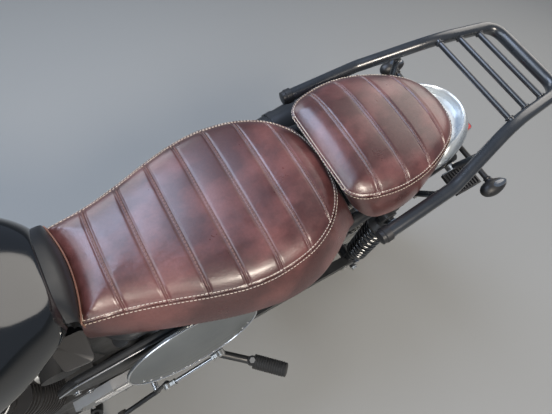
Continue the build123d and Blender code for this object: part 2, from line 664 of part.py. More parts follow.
def exhaust():
    """Two pipes from the ports, sweeping to the right side, with their high silencers."""
    port = (BARREL_X + PORT_REACH + SEAT_GAP, 55, PORT_Z)
    upper = tube([
        flip(port), (272, -55, PORT_Z), (280, -150, 545), (190, PIPE_Y, 505),
        (-120, PIPE_Y, UPPER_PIPE_Z - 16), (-210, PIPE_Y, UPPER_PIPE_Z),
        (SILENCER_START_X, PIPE_Y, UPPER_PIPE_Z)], PIPE, 32)
    lower = tube([
        port, (290, 55, PORT_Z), (304, -60, 574), (282, -160, 468), (185, PIPE_Y, 424),
        (-120, PIPE_Y, LOWER_PIPE_Z - 16), (-210, PIPE_Y, LOWER_PIPE_Z),
        (SILENCER_START_X, PIPE_Y, LOWER_PIPE_Z)], PIPE, 32)
    add("exhaust_pipes", upper, lower)
    cans = []
    for height in (UPPER_PIPE_Z, LOWER_PIPE_Z):
        start = (SILENCER_START_X - SEAT_GAP, PIPE_Y, height)
        middle = (start[0] - 70, PIPE_Y, height)
        end = (SILENCER_END_X, SILENCER_END_Y, height + 60)
        cans.append(rod(start, middle, PIPE + 8, SILENCER))
        cans.append(rod(middle, end, SILENCER))
        cans.append(rod(end, (end[0] - 26, end[1] - 1, end[2] + 3), SILENCER - 12, 52))
        for share in BAND_SHARES:
            low = [near + (far - near) * share for near, far in zip(middle, end)]
            high = [near + (far - near) * (share + BAND_SHARE) for near, far in zip(middle, end)]
            cans.append(rod(low, high, SILENCER + 5))
    add("silencers", *cans)
    shield = side_plate(outline(
        (150, 530), (-240, 622), (-275, 600), (-275, 490), (-240, 470), (150, 410)), SHIELD_Y, SHIELD_Y - 4)
    for x in range(-200, 130, 46):
        low, high = 478 - (x + 240) * 0.11, 602 - (x + 240) * 0.22
        middle = (low + high) / 2
        for end in ((low + 14, middle - 7), (middle + 7, high - 14)):
            shield -= block((x, SHIELD_Y - 6, end[0]), (x + 16, SHIELD_Y + 2, end[1]))
    posts = []
    for x, z in ((60, 535), (-240, 592), (-240, 506)):
        posts.append(rod((x, PIPE_Y - PIPE / 2 - SEAT_GAP, z), (x, SHIELD_Y - 1, z), 12))
    add("heat_shield", shield, *posts)


def engine():
    """Crankcase, barrels, head, covers and what feeds them."""
    add("crankcase", *crankcase())
    add("cylinder_barrels", *barrels())
    add("cylinder_head", *cylinder_head())
    left_y = CASE_HALF + SEAT_GAP
    add("left_engine_cover", *[
        side_disc((150, 0, 330), 158, left_y, left_y + 26),
        side_disc((150, 0, 330), 104, left_y + 26, left_y + 32)])
    clutch = side_disc((5, 0, 345), 184, -left_y, -left_y - 28)
    timing = side_disc((160, 0, 318), 126, -left_y, -left_y - 22)
    add("right_engine_cover", clutch, timing)
    guard_face = outline((-160, 350), (-140, 452), (-60, 462), (22, 440), (22, 346), (-60, 322), (-130, 322))
    cover = side_plate(guard_face, left_y, left_y + 20)
    add("sprocket_cover", cover)
    root_radius = FRONT_PITCH_RADIUS - CHAIN_HALF_HEIGHT - SEAT_GAP
    sprocket_disc = side_disc(FRONT_SPROCKET, 2 * root_radius, *SPROCKET_Y)
    shaft = side_disc(FRONT_SPROCKET, 30, GEARBOX_LEFT + SEAT_GAP, SPROCKET_Y[1] + 12)
    add("front_sprocket", sprocket_disc, shaft)
    bodies = []
    for side in SIDES:
        mouth = (BARREL_X - INTAKE_REACH - SEAT_GAP, side * 55, PORT_Z)
        bodies.append(rod(mouth, (AIR_BOX_FRONT + SEAT_GAP, side * 55, PORT_Z), 52))
        bodies.append(side_disc((mouth[0] - 34, 0, PORT_Z), 62, side * 20, side * 88))
    add("throttle_bodies", *bodies)
    add("air_box", block((-195, -68, CASE_TOP + 4), (AIR_BOX_FRONT, 68, RAIL_Z - 20), 18))


# Tank, seats and tail

# Heights in this group are given above the seat rails' middle line

TANK_REAR_X = -118
TANK_HEAD_GAP = 35
TANK_FRONT_X = HEAD_TOP[0] - HEAD_TUBE / 2 - TANK_HEAD_GAP
TUNNEL_GAP = 10
CAP_X = 130

# Each tank section: share of the length from the rear, lowest height, half width there, widest
# half width, its height, top height
TANK_SECTIONS = [
    (0, 70, 60, 80, 94, 136),
    (0.125, 54, 84, 122, 108, 190),
    (0.385, 30, 100, 148, 112, 220),
    (0.665, 22, 104, 152, 116, 228),
    (0.88, 38, 90, 128, 120, 206),
    (1, 64, 50, 80, 120, 164)]

# Each seat section: x, seam half width, seam height, crown above the seam, half width at the bottom
RIDER_SECTIONS = [
    (-118, 76, 80, 8, 82),
    (-182, 87, 74, 14, 110),
    (-295, 124, 73, 18, 152),
    (-407, 144, 74, 19, 178),
    (-470, 136, 77, 17, 173),
    (-539, 96, 79, 12, 146),
    (-596, 40, 80, 5, 104)]
PILLION_SECTIONS = [
    (-550, 88, 108, 10, 104),
    (-590, 113, 109, 15, 130),
    (-645, 123, 109, 18, 139),
    (-717, 117, 107, 18, 130),
    (-785, 94, 103, 15, 106),
    (-830, 66, 101, 10, 76),
    (-850, 34, 100, 5, 44)]
# Where the two seats face each other, as lines of x and height that lean back towards the floor
RIDER_REAR = ((-556, 108), (-596, 8))
PILLION_FRONT = ((-557, 113), (-592, 43))
RIDER_FLOOR = FRAME_TUBE / 2 - 1 + SEAT_GAP
PILLION_FLOOR = 46
SEAT_FRONT_HOLLOW = 240
COWL_FLOOR = 22
COWL_RISE = 18
COWL_GAP = 2
BRACKET_FLOOR = -52
INDICATOR_HEIGHT = -27


def above_rails(shape):
    """A shape drawn with heights above the rails, at its place."""
    return Pos(0, 0, RAIL_Z) * shape


def tank_section(share, low, low_half, half, widest, top):
    """One upright section of the tank: a flat floor, leaning sides and a round top."""
    x = TANK_REAR_X + share * (TANK_FRONT_X - TANK_REAR_X)
    plane = Plane(origin=(x, 0, 0), x_dir=(0, 1, 0), z_dir=(1, 0, 0))
    return plane * make_face([
        ThreePointArc((-half, widest), (0, top), (half, widest)),
        Line((half, widest), (low_half, low)),
        Line((low_half, low), (-low_half, low)),
        Line((-low_half, low), (-half, widest))])


def fuel_tank():
    """The tank with its filler cap, and the tunnel that clears the backbone."""
    body = above_rails(loft([tank_section(*row) for row in TANK_SECTIONS]))
    cap = above_rails(rod((CAP_X, 0, 205), (CAP_X, 0, 241), 82, 76))
    roof = BACKBONE / 2 + TUNNEL_GAP
    rear, front = TANK_REAR_X - 30, TANK_FRONT_X + 50
    tunnel = side_plate(outline(
        (rear, RAIL_Z - 40), (rear, SPINE_END[2] + roof + 7), (SPINE_BEND[0], SPINE_BEND[2] + roof),
        (front, spine_height(front) + roof), (front, RAIL_Z - 40)), -TUNNEL_HALF, TUNNEL_HALF)
    return Part() + [body, cap] - tunnel


def seat_section(x, half, seam, crown, low_half, floor):
    """One upright section of a seat: a flat base, straight sides and a crowned top."""
    plane = Plane(origin=(x, 0, 0), x_dir=(0, 1, 0), z_dir=(1, 0, 0))
    return plane * make_face([
        ThreePointArc((-half, seam), (0, seam + crown), (half, seam)),
        Line((half, seam), (low_half, floor)),
        Line((low_half, floor), (-low_half, floor)),
        Line((-low_half, floor), (-half, seam))])


def seats():
    """The rider's seat, hollowed in front for the tank, and the higher pillion seat."""
    rider = loft([seat_section(*row, RIDER_FLOOR) for row in RIDER_SECTIONS])
    front = RIDER_SECTIONS[0][0] - 18
    rider -= Pos(front + SEAT_FRONT_HOLLOW, 0, RIDER_FLOOR - 5) * Cylinder(
        SEAT_FRONT_HOLLOW, 100, align=(Align.CENTER, Align.CENTER, Align.MIN))
    rider -= side_plate(outline(*RIDER_REAR, (-700, 8), (-700, 108)), -200, 200)
    pillion = loft([seat_section(*row, PILLION_FLOOR) for row in PILLION_SECTIONS])
    pillion -= side_plate(outline(*PILLION_FRONT, (-500, 43), (-500, 158), (-534.5, 158)), -200, 200)
    add("rider_seat", above_rails(rider))
    add("pillion_seat", above_rails(pillion))


def cowl_plan(inset=0):
    """The tail cowl's outline seen from above, drawn in by an inset."""
    side, corner, tip = 106 - inset, 80 - inset, -955 + inset
    return make_face([
        Line((-600, -side), (-600, side)),
        Line((-600, side), (-796, side)),
        ThreePointArc((-796, side), (-906 + inset / 2, corner), (tip, 0)),
        ThreePointArc((tip, 0), (-906 + inset / 2, -corner), (-796, -side)),
        Line((-796, -side), (-600, -side))])


def tail_cowl():
    """The silver shell that carries the pillion seat and rises behind it."""
    top = PILLION_FLOOR - SEAT_GAP
    shell = extrude(Pos(0, 0, COWL_FLOOR) * cowl_plan(), top - COWL_FLOOR)
    brow = loft([Pos(0, 0, top) * cowl_plan(), Pos(0, 0, top + COWL_RISE) * cowl_plan(18)])
    seat_plan = [(x - COWL_GAP, half + COWL_GAP) for x, _, _, _, half in PILLION_SECTIONS[3:]]
    seat_side = [(-500, 160), (-690, 160), *seat_plan, (PILLION_SECTIONS[-1][0] - COWL_GAP, 0)]
    seat_face = outline(*seat_side, *[(x, -half) for x, half in reversed(seat_side[:-1])])
    brow -= extrude(Pos(0, 0, top - 1) * seat_face, COWL_RISE + 2)
    return above_rails(Part() + [shell, brow])


def tail():
    """The silver tail cowl, the ribbed block under it with the lamp, and the indicators."""
    add("tail_cowl", tail_cowl())
    back = -892 - SEAT_GAP
    ribs = [block((x, -48, BRACKET_FLOOR + 6), (x + 4, 48, COWL_FLOOR - 8)) for x in range(-960, -900, 10)]
    bracket = block((-966, -44, BRACKET_FLOOR), (back, 44, COWL_FLOOR - SEAT_GAP), 8)
    add("tail_bracket", above_rails(Part() + [bracket, *ribs]))
    add("tail_lamp", above_rails(block((-984, -52, -42), (-966 - SEAT_GAP, 52, 2), 6)))
    stem = rod((-948, 48 + SEAT_GAP, INDICATOR_HEIGHT), (-948, 172, INDICATOR_HEIGHT), 12)
    plane = Plane(origin=(-948, 186, INDICATOR_HEIGHT), x_dir=(1, 0, 0), z_dir=(0, -1, 0))
    half = make_face([
        Line((-38, 0), (-38, 3)),
        ThreePointArc((-38, 3), (-14, 14), (14, 17)),
        ThreePointArc((14, 17), (28, 12), (34, 3)),
        Line((34, 3), (34, 0)),
        Line((34, 0), (-38, 0))])
    lens = revolve(plane * half, axis=Axis((-948, 186, INDICATOR_HEIGHT), (1, 0, 0)))
    add("rear_indicators", above_rails(both(Part() + [stem, lens])))


# Each rack point on the left: x, y, height above the rails
RACK_PLACES = [(-616, 168.6, 43), (-770, 160, 70), (-930, 117, 124), (-1092, 100, 121), (-1092, 0, 121)]
RACK_POINTS = [(x, y, RAIL_Z + height) for x, y, height in RACK_PLACES]
RACK_TUBE = 25
RACK_BAR = 12
RACK_BARS_X = (-930.1, -985, -1040)
RACK_FOOT = 22
RACK_LEGS_X = (-745, -858)
# The ribbed shelf that the left rear leg carries outside the rail
SHELF_X = (-888, -818)
SHELF_Y = (119, 170)
SHELF_HEIGHT = 8
SHELF_RIBS = 7


def rack_place(x):
    """The rack tube's distance from the middle and its height, at a distance along the motorcycle."""
    for before, after in zip(RACK_POINTS, RACK_POINTS[1:]):
        if before[0] >= x > after[0]:
            share = (x - before[0]) / (after[0] - before[0])
            return before[1] + share * (after[1] - before[1]), before[2] + share * (after[2] - before[2])


def rail_place(x):
    """The seat rail's distance from the middle and its height, behind the pillion's front."""
    share = (x + 600) / (RAIL_END[0] + 600)
    return 112 + (RAIL_END[1] - 112) * share, RAIL_Z + (RAIL_END[2] - RAIL_Z) * share


def rack():
    """The rear rack: one bent tube with three cross bars, end caps and its four legs."""
    left = RACK_POINTS[:-1]
    loop = tube(left + [flip(point) for point in reversed(left)], RACK_TUBE, 42)
    pieces = [loop]
    for x in RACK_BARS_X:
        half, height = rack_place(x)
        pieces.append(rod((x, -half, height), (x, half, height), RACK_BAR))
    for side in SIDES:
        front = RACK_POINTS[0]
        cap = (front[0] + 14, side * (front[1] + 0.8), front[2] - 2.5)
        pieces.append(rod((front[0] - 4, side * front[1], front[2]), cap, 30))
        for x in RACK_LEGS_X:
            tube_y, tube_z = rack_place(x)
            rail_y, rail_z = rail_place(x)
            taper = (112 - RAIL_END[1]) / (-600 - RAIL_END[0])
            foot_y = rail_y + FRAME_TUBE / 2 - 1 + SEAT_GAP + taper * RACK_FOOT / 2
            pieces.append(rod((x, side * foot_y, rail_z), (x, side * (foot_y + 12), rail_z), RACK_FOOT))
            pieces.append(rod((x, side * tube_y, tube_z), (x, side * (foot_y + 8), rail_z), 13))
    shelf_low, shelf_high = RAIL_Z + SHELF_HEIGHT, RAIL_Z + SHELF_HEIGHT + 8
    pieces.append(block((SHELF_X[0], SHELF_Y[0], shelf_low), (SHELF_X[1], SHELF_Y[1], shelf_high), 5))
    for count in range(SHELF_RIBS):
        x = SHELF_X[0] + 6 + count * (SHELF_X[1] - SHELF_X[0] - 8) / SHELF_RIBS
        pieces.append(block((x, SHELF_Y[0] + 3, shelf_high - 1), (x + 4, SHELF_Y[1] - 3, shelf_high + 3)))
    return pieces


# Small carried pieces

BOARD_CENTRE = (-248, 158, RAIL_Z - 74)
COVER_OUT = 130
BOARD_LEAN = (0, 0.963, 0.27)
# The board's rings from its edge to its crown: half length, half height, distance out
BOARD_RINGS = [(121, 78, 0), (114, 72, 5), (84, 50, 10.5), (30, 18, 12.5)]

# The side cover's outline: x and height above the rails
COVER_OUTLINE = [(-250, -142), (-40, -132), (-20, -82), (-60, -30), (-250, -24), (-280, -82)]


def number_board():
    """The blank oval board on the left, with two studs to the side cover."""
    plane = Plane(origin=BOARD_CENTRE, x_dir=(1, 0, 0), z_dir=BOARD_LEAN)
    shell = loft([plane * Pos(0, 0, out) * Ellipse(long, high) for long, high, out in BOARD_RINGS])
    height = BOARD_CENTRE[2]
    studs = [rod((x, COVER_OUT + SEAT_GAP, height), (x, 160, height), 12) for x in (-262, -190)]
    return [shell, *studs]


PEG_START = (-345, 231, 415)
PEG_END = (-400, 287, 440)
PEG = 34
PEG_RIBS = 7


def foot_peg():
    """The left peg's bent bracket and its rubber."""
    root = (-216, FRAME_SIDE, 452)
    bracket = tube([root, (-216, 140, 452), (-264, 160, 432), PEG_START], 18, 14)
    rubber = [bracket, rod(PEG_START, PEG_END, PEG - 6)]
    way = Vector(*PEG_END) - Vector(*PEG_START)
    for count in range(PEG_RIBS):
        low = Vector(*PEG_START) + way * (count / PEG_RIBS + 0.02)
        high = low + way * (0.62 / PEG_RIBS)
        rubber.append(rod((low.X, low.Y, low.Z), (high.X, high.Y, high.Z), PEG))
    return Part() + rubber


def gear_lever():
    """The gear lever: its shaft below the sprocket cover, an arm, a rod and the toe lever."""
    shaft = side_disc((-118, 0, 300), 16, GEARBOX_LEFT + SEAT_GAP, 176)
    arm = rod((-118, 172, 300), (-154, 172, 406), 14)
    joint = side_disc((-154, 0, 406), 18, 166, 186)
    link = rod((-154, 180, 406), (-286, 180, 465), 10)
    toe = rod((-118, 172, 300), (-20, 176, 262), 12)
    pad = side_disc((-20, 0, 262), 20, 168, 200)
    return [shaft, arm, joint, link, toe, pad]


def brake_pedal():
    """The brake pedal on the right, on its own short shaft."""
    shaft = side_disc((-216, 0, 340), 16, -FRAME_SIDE, -176)
    arm = rod((-216, -170, 340), (-30, -176, 290), 13)
    pad = side_disc((-30, 0, 290), 26, -164, -206)
    return [shaft, arm, pad]


def skid_plate():
    """The bent plate under the engine, resting against the cradle tubes from below."""
    low = CRADLE_Z - FRAME_TUBE / 2 - SEAT_GAP
    face = outline(
        (-100, low - 4), (224, low - 4), (240, 190), (299, 235), (305, 245), (327, 329),
        (323, 330), (301, 247), (296, 238), (238, 194), (222, low), (-100, low))
    return side_plate(face, -112, 112)


def controls():
    """Pegs, gear lever, brake pedal, skid plate and the rear caliper."""
    add("foot_pegs", both(foot_peg()))
    add("gear_lever", *gear_lever())
    add("brake_pedal", *brake_pedal())
    add("skid_plate", skid_plate())
    axle_x, _, axle_z = REAR_AXLE
    caliper = block((axle_x - 62, -96, axle_z + 77), (axle_x - 2, -62, axle_z + 141), 6)
    slot = side_disc(REAR_AXLE, REAR_DISC + 10, REAR_DISC_Y[0] - 5, REAR_DISC_Y[1] + 5)
    carrier = side_plate(outline(
        (axle_x - 54, axle_z + 11), (axle_x - 22, axle_z + 11), (axle_x - 5, axle_z + 90),
        (axle_x - 60, axle_z + 90)), -102, -95)
    boss = side_disc((axle_x - 32, 0, axle_z + 21), 18, -98, -ARM_Y[0] + SEAT_GAP)
    add("rear_brake_caliper", Part() + [caliper, carrier, boss] - slot)


STAND_PIVOT = (40, 134, 222)
STAND_FOOT_X = 76
STAND_FOOT_Y = 268
STAND_LEG = 20
STAND_BOLT = 12
STAND_HEAD = 30
STAND_HEAD_HALF = 7
STOWED_WAY = (-1, 0.12, 0.06)


def ground_height(y):
    """The height of the ground on the left, in the upright drawing, once it leans."""
    lean = math.radians(LEAN)
    crown = REAR_TYRE_WIDTH / 2
    return (y * math.sin(lean) - crown * (1 - math.cos(lean))) / math.cos(lean)


STAND_FOOT = (STAND_FOOT_X, STAND_FOOT_Y, ground_height(STAND_FOOT_Y))


def stand_axis():
    """The way the stand's pivot points: square to the leg when it is down and when it is up."""
    down = Vector(*STAND_FOOT) - Vector(*STAND_PIVOT)
    return down.cross(Vector(*STOWED_WAY)).normalized()


def stand_range():
    """The angle from the stand's stop to where it is folded up, in degrees."""
    down = Vector(*STAND_FOOT) - Vector(*STAND_PIVOT)
    return down.get_angle(Vector(*STOWED_WAY))


def from_pivot(along):
    """A point on the stand's pivot line."""
    place = Vector(*STAND_PIVOT) + stand_axis() * along
    return (place.X, place.Y, place.Z)


def stand_lug():
    """The lug on the left cradle tube, with the bolt that the stand turns on."""
    return Part() + [
        rod((STAND_PIVOT[0], FRAME_Y + 4, CRADLE_Z - 4), from_pivot(-STAND_HEAD_HALF - 4), STAND_LEG - 4),
        rod(from_pivot(-STAND_HEAD_HALF - 8), from_pivot(-STAND_HEAD_HALF - SEAT_GAP), STAND_HEAD),
        rod(from_pivot(-STAND_HEAD_HALF - 4), from_pivot(STAND_HEAD_HALF + 6), STAND_BOLT)]


def side_stand():
    """The leg from its eye to a flat foot that lies on the ground."""
    lean = math.radians(LEAN)
    up = Vector(0, -math.sin(lean), math.cos(lean))
    sole = Plane(origin=STAND_FOOT, x_dir=(1, 0, 0), z_dir=up) * Cylinder(
        26, 8, align=(Align.CENTER, Align.CENTER, Align.MIN))
    ankle = Vector(*STAND_FOOT) + up * 13
    start = Vector(*STAND_PIVOT) + (ankle - Vector(*STAND_PIVOT)).normalized() * (STAND_BOLT / 2 + 3)
    leg = rod((start.X, start.Y, start.Z), (ankle.X, ankle.Y, ankle.Z), 2 * STAND_HEAD_HALF - 3, STAND_LEG)
    head = rod(from_pivot(-STAND_HEAD_HALF), from_pivot(STAND_HEAD_HALF), STAND_HEAD)
    bore = rod(from_pivot(-STAND_HEAD_HALF - 9), from_pivot(STAND_HEAD_HALF + 9), STAND_BOLT + 2 * SEAT_GAP)
    return Part() + [sole, leg, head] - bore


def parked(shape):
    """Lean a piece over as the motorcycle parks, and set it on the origin."""
    rise = REAR_TYRE_WIDTH / 2 * (1 - math.cos(math.radians(LEAN)))
    return Pos(-ORIGIN_X, -ORIGIN_Y, rise) * Rot(-LEAN, 0, 0) * shape


def build():
    """Make every piece."""
    wheels()
    steering()
    add("frame", frame())
    add("swingarm", *swingarm())
    add("shock_absorbers", both(shock()))
    engine()
    exhaust()
    add("drive_chain", side_plate(chain_loop(CHAIN_HALF_HEIGHT) - chain_loop(-CHAIN_HALF_HEIGHT), *CHAIN_Y))
    add("fuel_tank", fuel_tank())
    seats()
    tail()
    guard_radius = REAR_TYRE_RADIUS + 37
    add("rear_mudguard", guard(REAR_AXLE, guard_radius, 72, 3, 16, 62, 76), *[
        rod((x, 0, guard_top(x, guard_radius + 1)), (x, 0, z), 16) for x, z in (
            (STRUT_TOP[0], STRUT_TOP[2] - FRAME_TUBE / 2 + 4 - SEAT_GAP),
            (RAIL_END[0], RAIL_END[2] - FRAME_TUBE / 2 + 2 - SEAT_GAP))])
    add("rear_rack", *rack())
    add("number_board", *number_board())
    add("side_covers", both(above_rails(side_plate(outline(*COVER_OUTLINE), FRAME_SIDE, COVER_OUT))))
    controls()
    add("side_stand", side_stand())


build()
os.makedirs("parts", exist_ok=True)
for node, piece in nodes.items():
    export_step(parked(piece), f"parts/{node}.step")
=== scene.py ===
"""Finishes the scrambler motorcycle: sewn seats, tank, tread, trim and materials on a grey floor.

Shapes are worked out upright in millimetres, X forward, Y to the rider's left and Z up from
the ground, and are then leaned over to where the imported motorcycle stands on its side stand.
"""
import json
import math

import bmesh
import bpy
import numpy as np
from mathutils import Matrix, Vector
from mathutils.bvhtree import BVHTree


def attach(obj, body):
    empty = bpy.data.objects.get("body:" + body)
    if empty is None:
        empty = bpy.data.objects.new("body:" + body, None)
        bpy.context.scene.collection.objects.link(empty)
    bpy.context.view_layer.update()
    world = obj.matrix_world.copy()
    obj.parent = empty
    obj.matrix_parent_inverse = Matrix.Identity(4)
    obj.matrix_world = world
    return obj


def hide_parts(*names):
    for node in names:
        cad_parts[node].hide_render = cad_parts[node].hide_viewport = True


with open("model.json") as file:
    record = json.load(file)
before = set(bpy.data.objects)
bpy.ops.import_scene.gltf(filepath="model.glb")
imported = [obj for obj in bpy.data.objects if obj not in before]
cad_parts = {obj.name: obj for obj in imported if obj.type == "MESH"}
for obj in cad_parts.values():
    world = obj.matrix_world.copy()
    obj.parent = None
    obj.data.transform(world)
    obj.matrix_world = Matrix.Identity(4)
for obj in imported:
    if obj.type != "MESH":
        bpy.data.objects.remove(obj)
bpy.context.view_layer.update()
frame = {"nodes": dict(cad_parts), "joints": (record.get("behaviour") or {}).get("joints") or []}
nodes = frame["nodes"]
joints = {joint["name"]: joint for joint in frame["joints"]}

# The axles, upright, in millimetres
REAR_AXLE = np.array([-740.0, 0.0, 325.0])
FRONT_AXLE = np.array([755.0, 0.0, 337.0])
RAKE = math.radians(27)
AHEAD, LEFT, RIGHT, UP = (1, 0, 0), (0, 1, 0), (0, -1, 0), (0, 0, 1)
HANDS = (("left", 1), ("right", -1))
SHARP = math.radians(38)

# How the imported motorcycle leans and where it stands, read from its rear axle
axle_way = np.array(joints["rear_wheel_spin"]["axis"])
LEAN = math.atan2(-axle_way[2], axle_way[1])
lean_turn = np.array([
    [1, 0, 0],
    [0, math.cos(LEAN), math.sin(LEAN)],
    [0, -math.sin(LEAN), math.cos(LEAN)]])
stand_shift = np.array(joints["rear_wheel_spin"]["pos_m"]) - lean_turn @ REAR_AXLE / 1000


def parked(points):
    """Upright millimetres to the leaning frame's metres, for an array of points."""
    return np.asarray(points, float) / 1000 @ lean_turn.T + stand_shift


# Shape tools. A shape is a pair of points and faces.

def grid_faces(rows, columns, wrap_rows=False, wrap_columns=False):
    """The quads between neighbours of a grid whose points are stored row by row."""
    row = np.arange(rows if wrap_rows else rows - 1)[:, None]
    column = np.arange(columns if wrap_columns else columns - 1)[None, :]
    next_row = (row + 1) % rows
    next_column = (column + 1) % columns
    corners = [row * columns + column, next_row * columns + column,
               next_row * columns + next_column, row * columns + next_column]
    return np.stack(np.broadcast_arrays(*corners), -1).reshape(-1, 4)


def sheet(grid, wrap_rows=False, wrap_columns=True):
    """A grid of points as a shape, its rows closed into rings unless told otherwise."""
    return grid.reshape(-1, 3), grid_faces(*grid.shape[:2], wrap_rows, wrap_columns)


def joined(parts):
    """Several shapes as one."""
    points, faces, start = [], [], 0
    for part_points, part_faces in parts:
        points.append(part_points)
        faces.append(part_faces + start)
        start += len(part_points)
    return np.concatenate(points), np.concatenate(faces)


def welded(points, faces, step=0.02):
    """The shape with points that share a place made one, and each old point's new number."""
    keys = np.round(points / step).astype(np.int64)
    _, first, back = np.unique(keys, axis=0, return_index=True, return_inverse=True)
    back = back.reshape(-1)
    return points[first], back[faces], back


def mesh_of(name, points, faces, merged=True):
    """A mesh with its faces turned outwards and its doubles merged."""
    data = bpy.data.meshes.new(name)
    data.from_pydata(points.tolist(), [], faces)
    work = bmesh.new()
    work.from_mesh(data)
    if merged:
        bmesh.ops.remove_doubles(work, verts=work.verts, dist=2e-6)
        bmesh.ops.dissolve_degenerate(work, edges=work.edges, dist=1e-6)
    bmesh.ops.recalc_face_normals(work, faces=work.faces)
    work.to_mesh(data)
    work.free()
    return data


def placed(name, data):
    """A new object in the scene."""
    item = bpy.data.objects.new(name, data)
    bpy.context.scene.collection.objects.link(item)
    return item


def put(name, shape, surface, body="root", hides=None, sharp=SHARP):
    """One piece from a shape: leaned over, smooth up to an angle, riding on a body."""
    points, faces = shape
    data = mesh_of(name, parked(points), faces.tolist())
    data.materials.append(surface)
    data.shade_smooth()
    data.set_sharp_from_angle(angle=sharp)
    piece = placed(name, data)
    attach(piece, body)
    if hides:
        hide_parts(hides)
    return piece


def eased(at, where, values):
    """A curve through a short table: cubic between its rows, with slopes from the rows on each side."""
    where = np.asarray(where, float)
    slope = np.gradient(values, where, axis=0)
    place = np.clip(np.searchsorted(where, at, side="right") - 1, 0, len(where) - 2)
    span = where[place + 1] - where[place]
    share = (at - where[place]) / span
    shape = (-1,) + (1,) * (values.ndim - 1)
    share, span = share.reshape(shape), span.reshape(shape)
    return ((1 + 2 * share) * (1 - share) ** 2 * values[place]
            + share * (1 - share) ** 2 * span * slope[place]
            + share ** 2 * (3 - 2 * share) * values[place + 1]
            + share ** 2 * (share - 1) * span * slope[place + 1])


def unit(vectors):
    """The vectors at length 1."""
    vectors = np.asarray(vectors, float)
    return vectors / np.maximum(np.linalg.norm(vectors, axis=-1, keepdims=True), 1e-12)


def full_turn(count):
    """Angles evenly spaced round a full turn."""
    return np.linspace(0, 2 * math.pi, count, endpoint=False)


def bent(points, radius, count=9):
    """A path of straight runs, each corner rounded by a parabola that leaves its runs where an arc would."""
    points = np.asarray(points, float)
    before, corner, after = points[:-2], points[1:-1], points[2:]
    back, on = unit(before - corner), unit(after - corner)
    half_turn = (math.pi - np.arccos(np.clip((back * on).sum(1), -1, 1))) / 2
    reach = np.minimum(np.linalg.norm(before - corner, axis=1), np.linalg.norm(after - corner, axis=1)) * 0.48
    reach = np.minimum(np.broadcast_to(radius, reach.shape) * np.tan(half_turn), reach)[:, None, None]
    share = np.linspace(0, 1, count)[None, :, None]
    start = corner[:, None] + back[:, None] * reach
    end = corner[:, None] + on[:, None] * reach
    arcs = start * (1 - share) ** 2 + 2 * corner[:, None] * share * (1 - share) + end * share ** 2
    return np.concatenate([points[:1], arcs.reshape(-1, 3), points[-1:]])


def distances(path):
    """How far along a path each of its points lies."""
    return np.r_[0, np.cumsum(np.linalg.norm(np.diff(path, axis=0), axis=1))]


def resampled(path, count):
    """A path as a number of even steps."""
    run = distances(path)
    at = np.linspace(0, run[-1], count + 1)
    return np.stack([np.interp(at, run, along) for along in path.T], 1)


def spaced(path, step):
    """A path resampled at even steps of about a given length."""
    return resampled(path, max(int(distances(path)[-1] / step), 2))


def swept(path, radius, sides=20, up=UP, flat=1.0, closed=False):
    """A tube: a ring square to the path at each point, its radius given for all or for each point.

    The ring's first axis is the path's direction crossed with up, and flat squeezes the second.
    """
    path = np.asarray(path, float)
    way = unit(np.roll(path, -1, 0) - np.roll(path, 1, 0) if closed else np.gradient(path, axis=0))
    side = unit(np.cross(way, up))
    other = np.cross(side, way)
    angle = full_turn(sides)
    radius = np.broadcast_to(np.asarray(radius, float).reshape(-1, 1, 1), (len(path), 1, 1))
    ring = (np.cos(angle)[None, :, None] * side[:, None]
            + flat * np.sin(angle)[None, :, None] * other[:, None])
    points = path[:, None] + radius * ring
    if not closed:
        ends = [np.repeat(end, sides, 1) for end in (path[:1, None], path[-1:, None])]
        points = np.concatenate([ends[0], points, ends[1]])
    return sheet(points, closed)


def square_to(way):
    """Two directions square to a way and to each other."""
    side = unit(np.cross(way, UP if abs(way[2]) < 0.9 else AHEAD))
    return side, np.cross(way, side)


def turned(profile, centre, axis, sides=48):
    """Pairs of (distance along the axis, radius) carried round an axis."""
    profile = np.asarray(profile, float)
    axis = unit(axis)
    side, other = square_to(axis)
    angle = full_turn(sides)
    ring = np.cos(angle)[:, None] * side + np.sin(angle)[:, None] * other
    return sheet(np.asarray(centre, float) + profile[:, None, :1] * axis + profile[:, None, 1:] * ring[None])


def mirrored(*shapes):
    """The shapes and their mirror images on the other side."""
    points, faces = joined(shapes)
    return joined([(points, faces), (points * (1, -1, 1), faces[:, ::-1])])


def copies(shape, places, turns=np.eye(3)):
    """One small shape set at many places, with a turn for all or for each, 3 by 3."""
    points, faces = shape
    places = np.asarray(places, float)
    moved = np.einsum("nij,pj->npi", np.broadcast_to(turns, (len(places), 3, 3)), points) + places[:, None]
    offsets = np.arange(len(places))[:, None, None] * len(points)
    return moved.reshape(-1, 3), (faces[None] + offsets).reshape(-1, faces.shape[1])


def about_axle(cos, sin):
    """Turns about Y, one for each cosine and sine."""
    zero, one = np.zeros_like(cos), np.ones_like(cos)
    rows = ((cos, zero, -sin), (zero, one, zero), (sin, zero, cos))
    return np.stack([np.stack(row, -1) for row in rows], 1)


def slab(half, edge=1.0, place=(0, 0, 0)):
    """A box from its half sizes, with its edges eased: a cube's grid pulled to a rounded box."""
    line = np.linspace(-1, 1, 4)
    first, second = np.meshgrid(line, line, indexing="ij")
    one = np.ones_like(first)
    half = np.asarray(half, float)
    parts = []
    for side in ((one, first, second), (-one, first, second), (first, one, second),
                 (first, -one, second), (first, second, one), (first, second, -one)):
        cube = np.stack(side, -1)
        near = np.abs(cube) > 0.5
        core = np.sign(cube) * np.where(near, half - edge, half * np.abs(cube) * 0.9)
        parts.append(sheet(core + edge * unit(np.where(near, cube, 0)) + place, False, False))
    return joined(parts)


# Materials

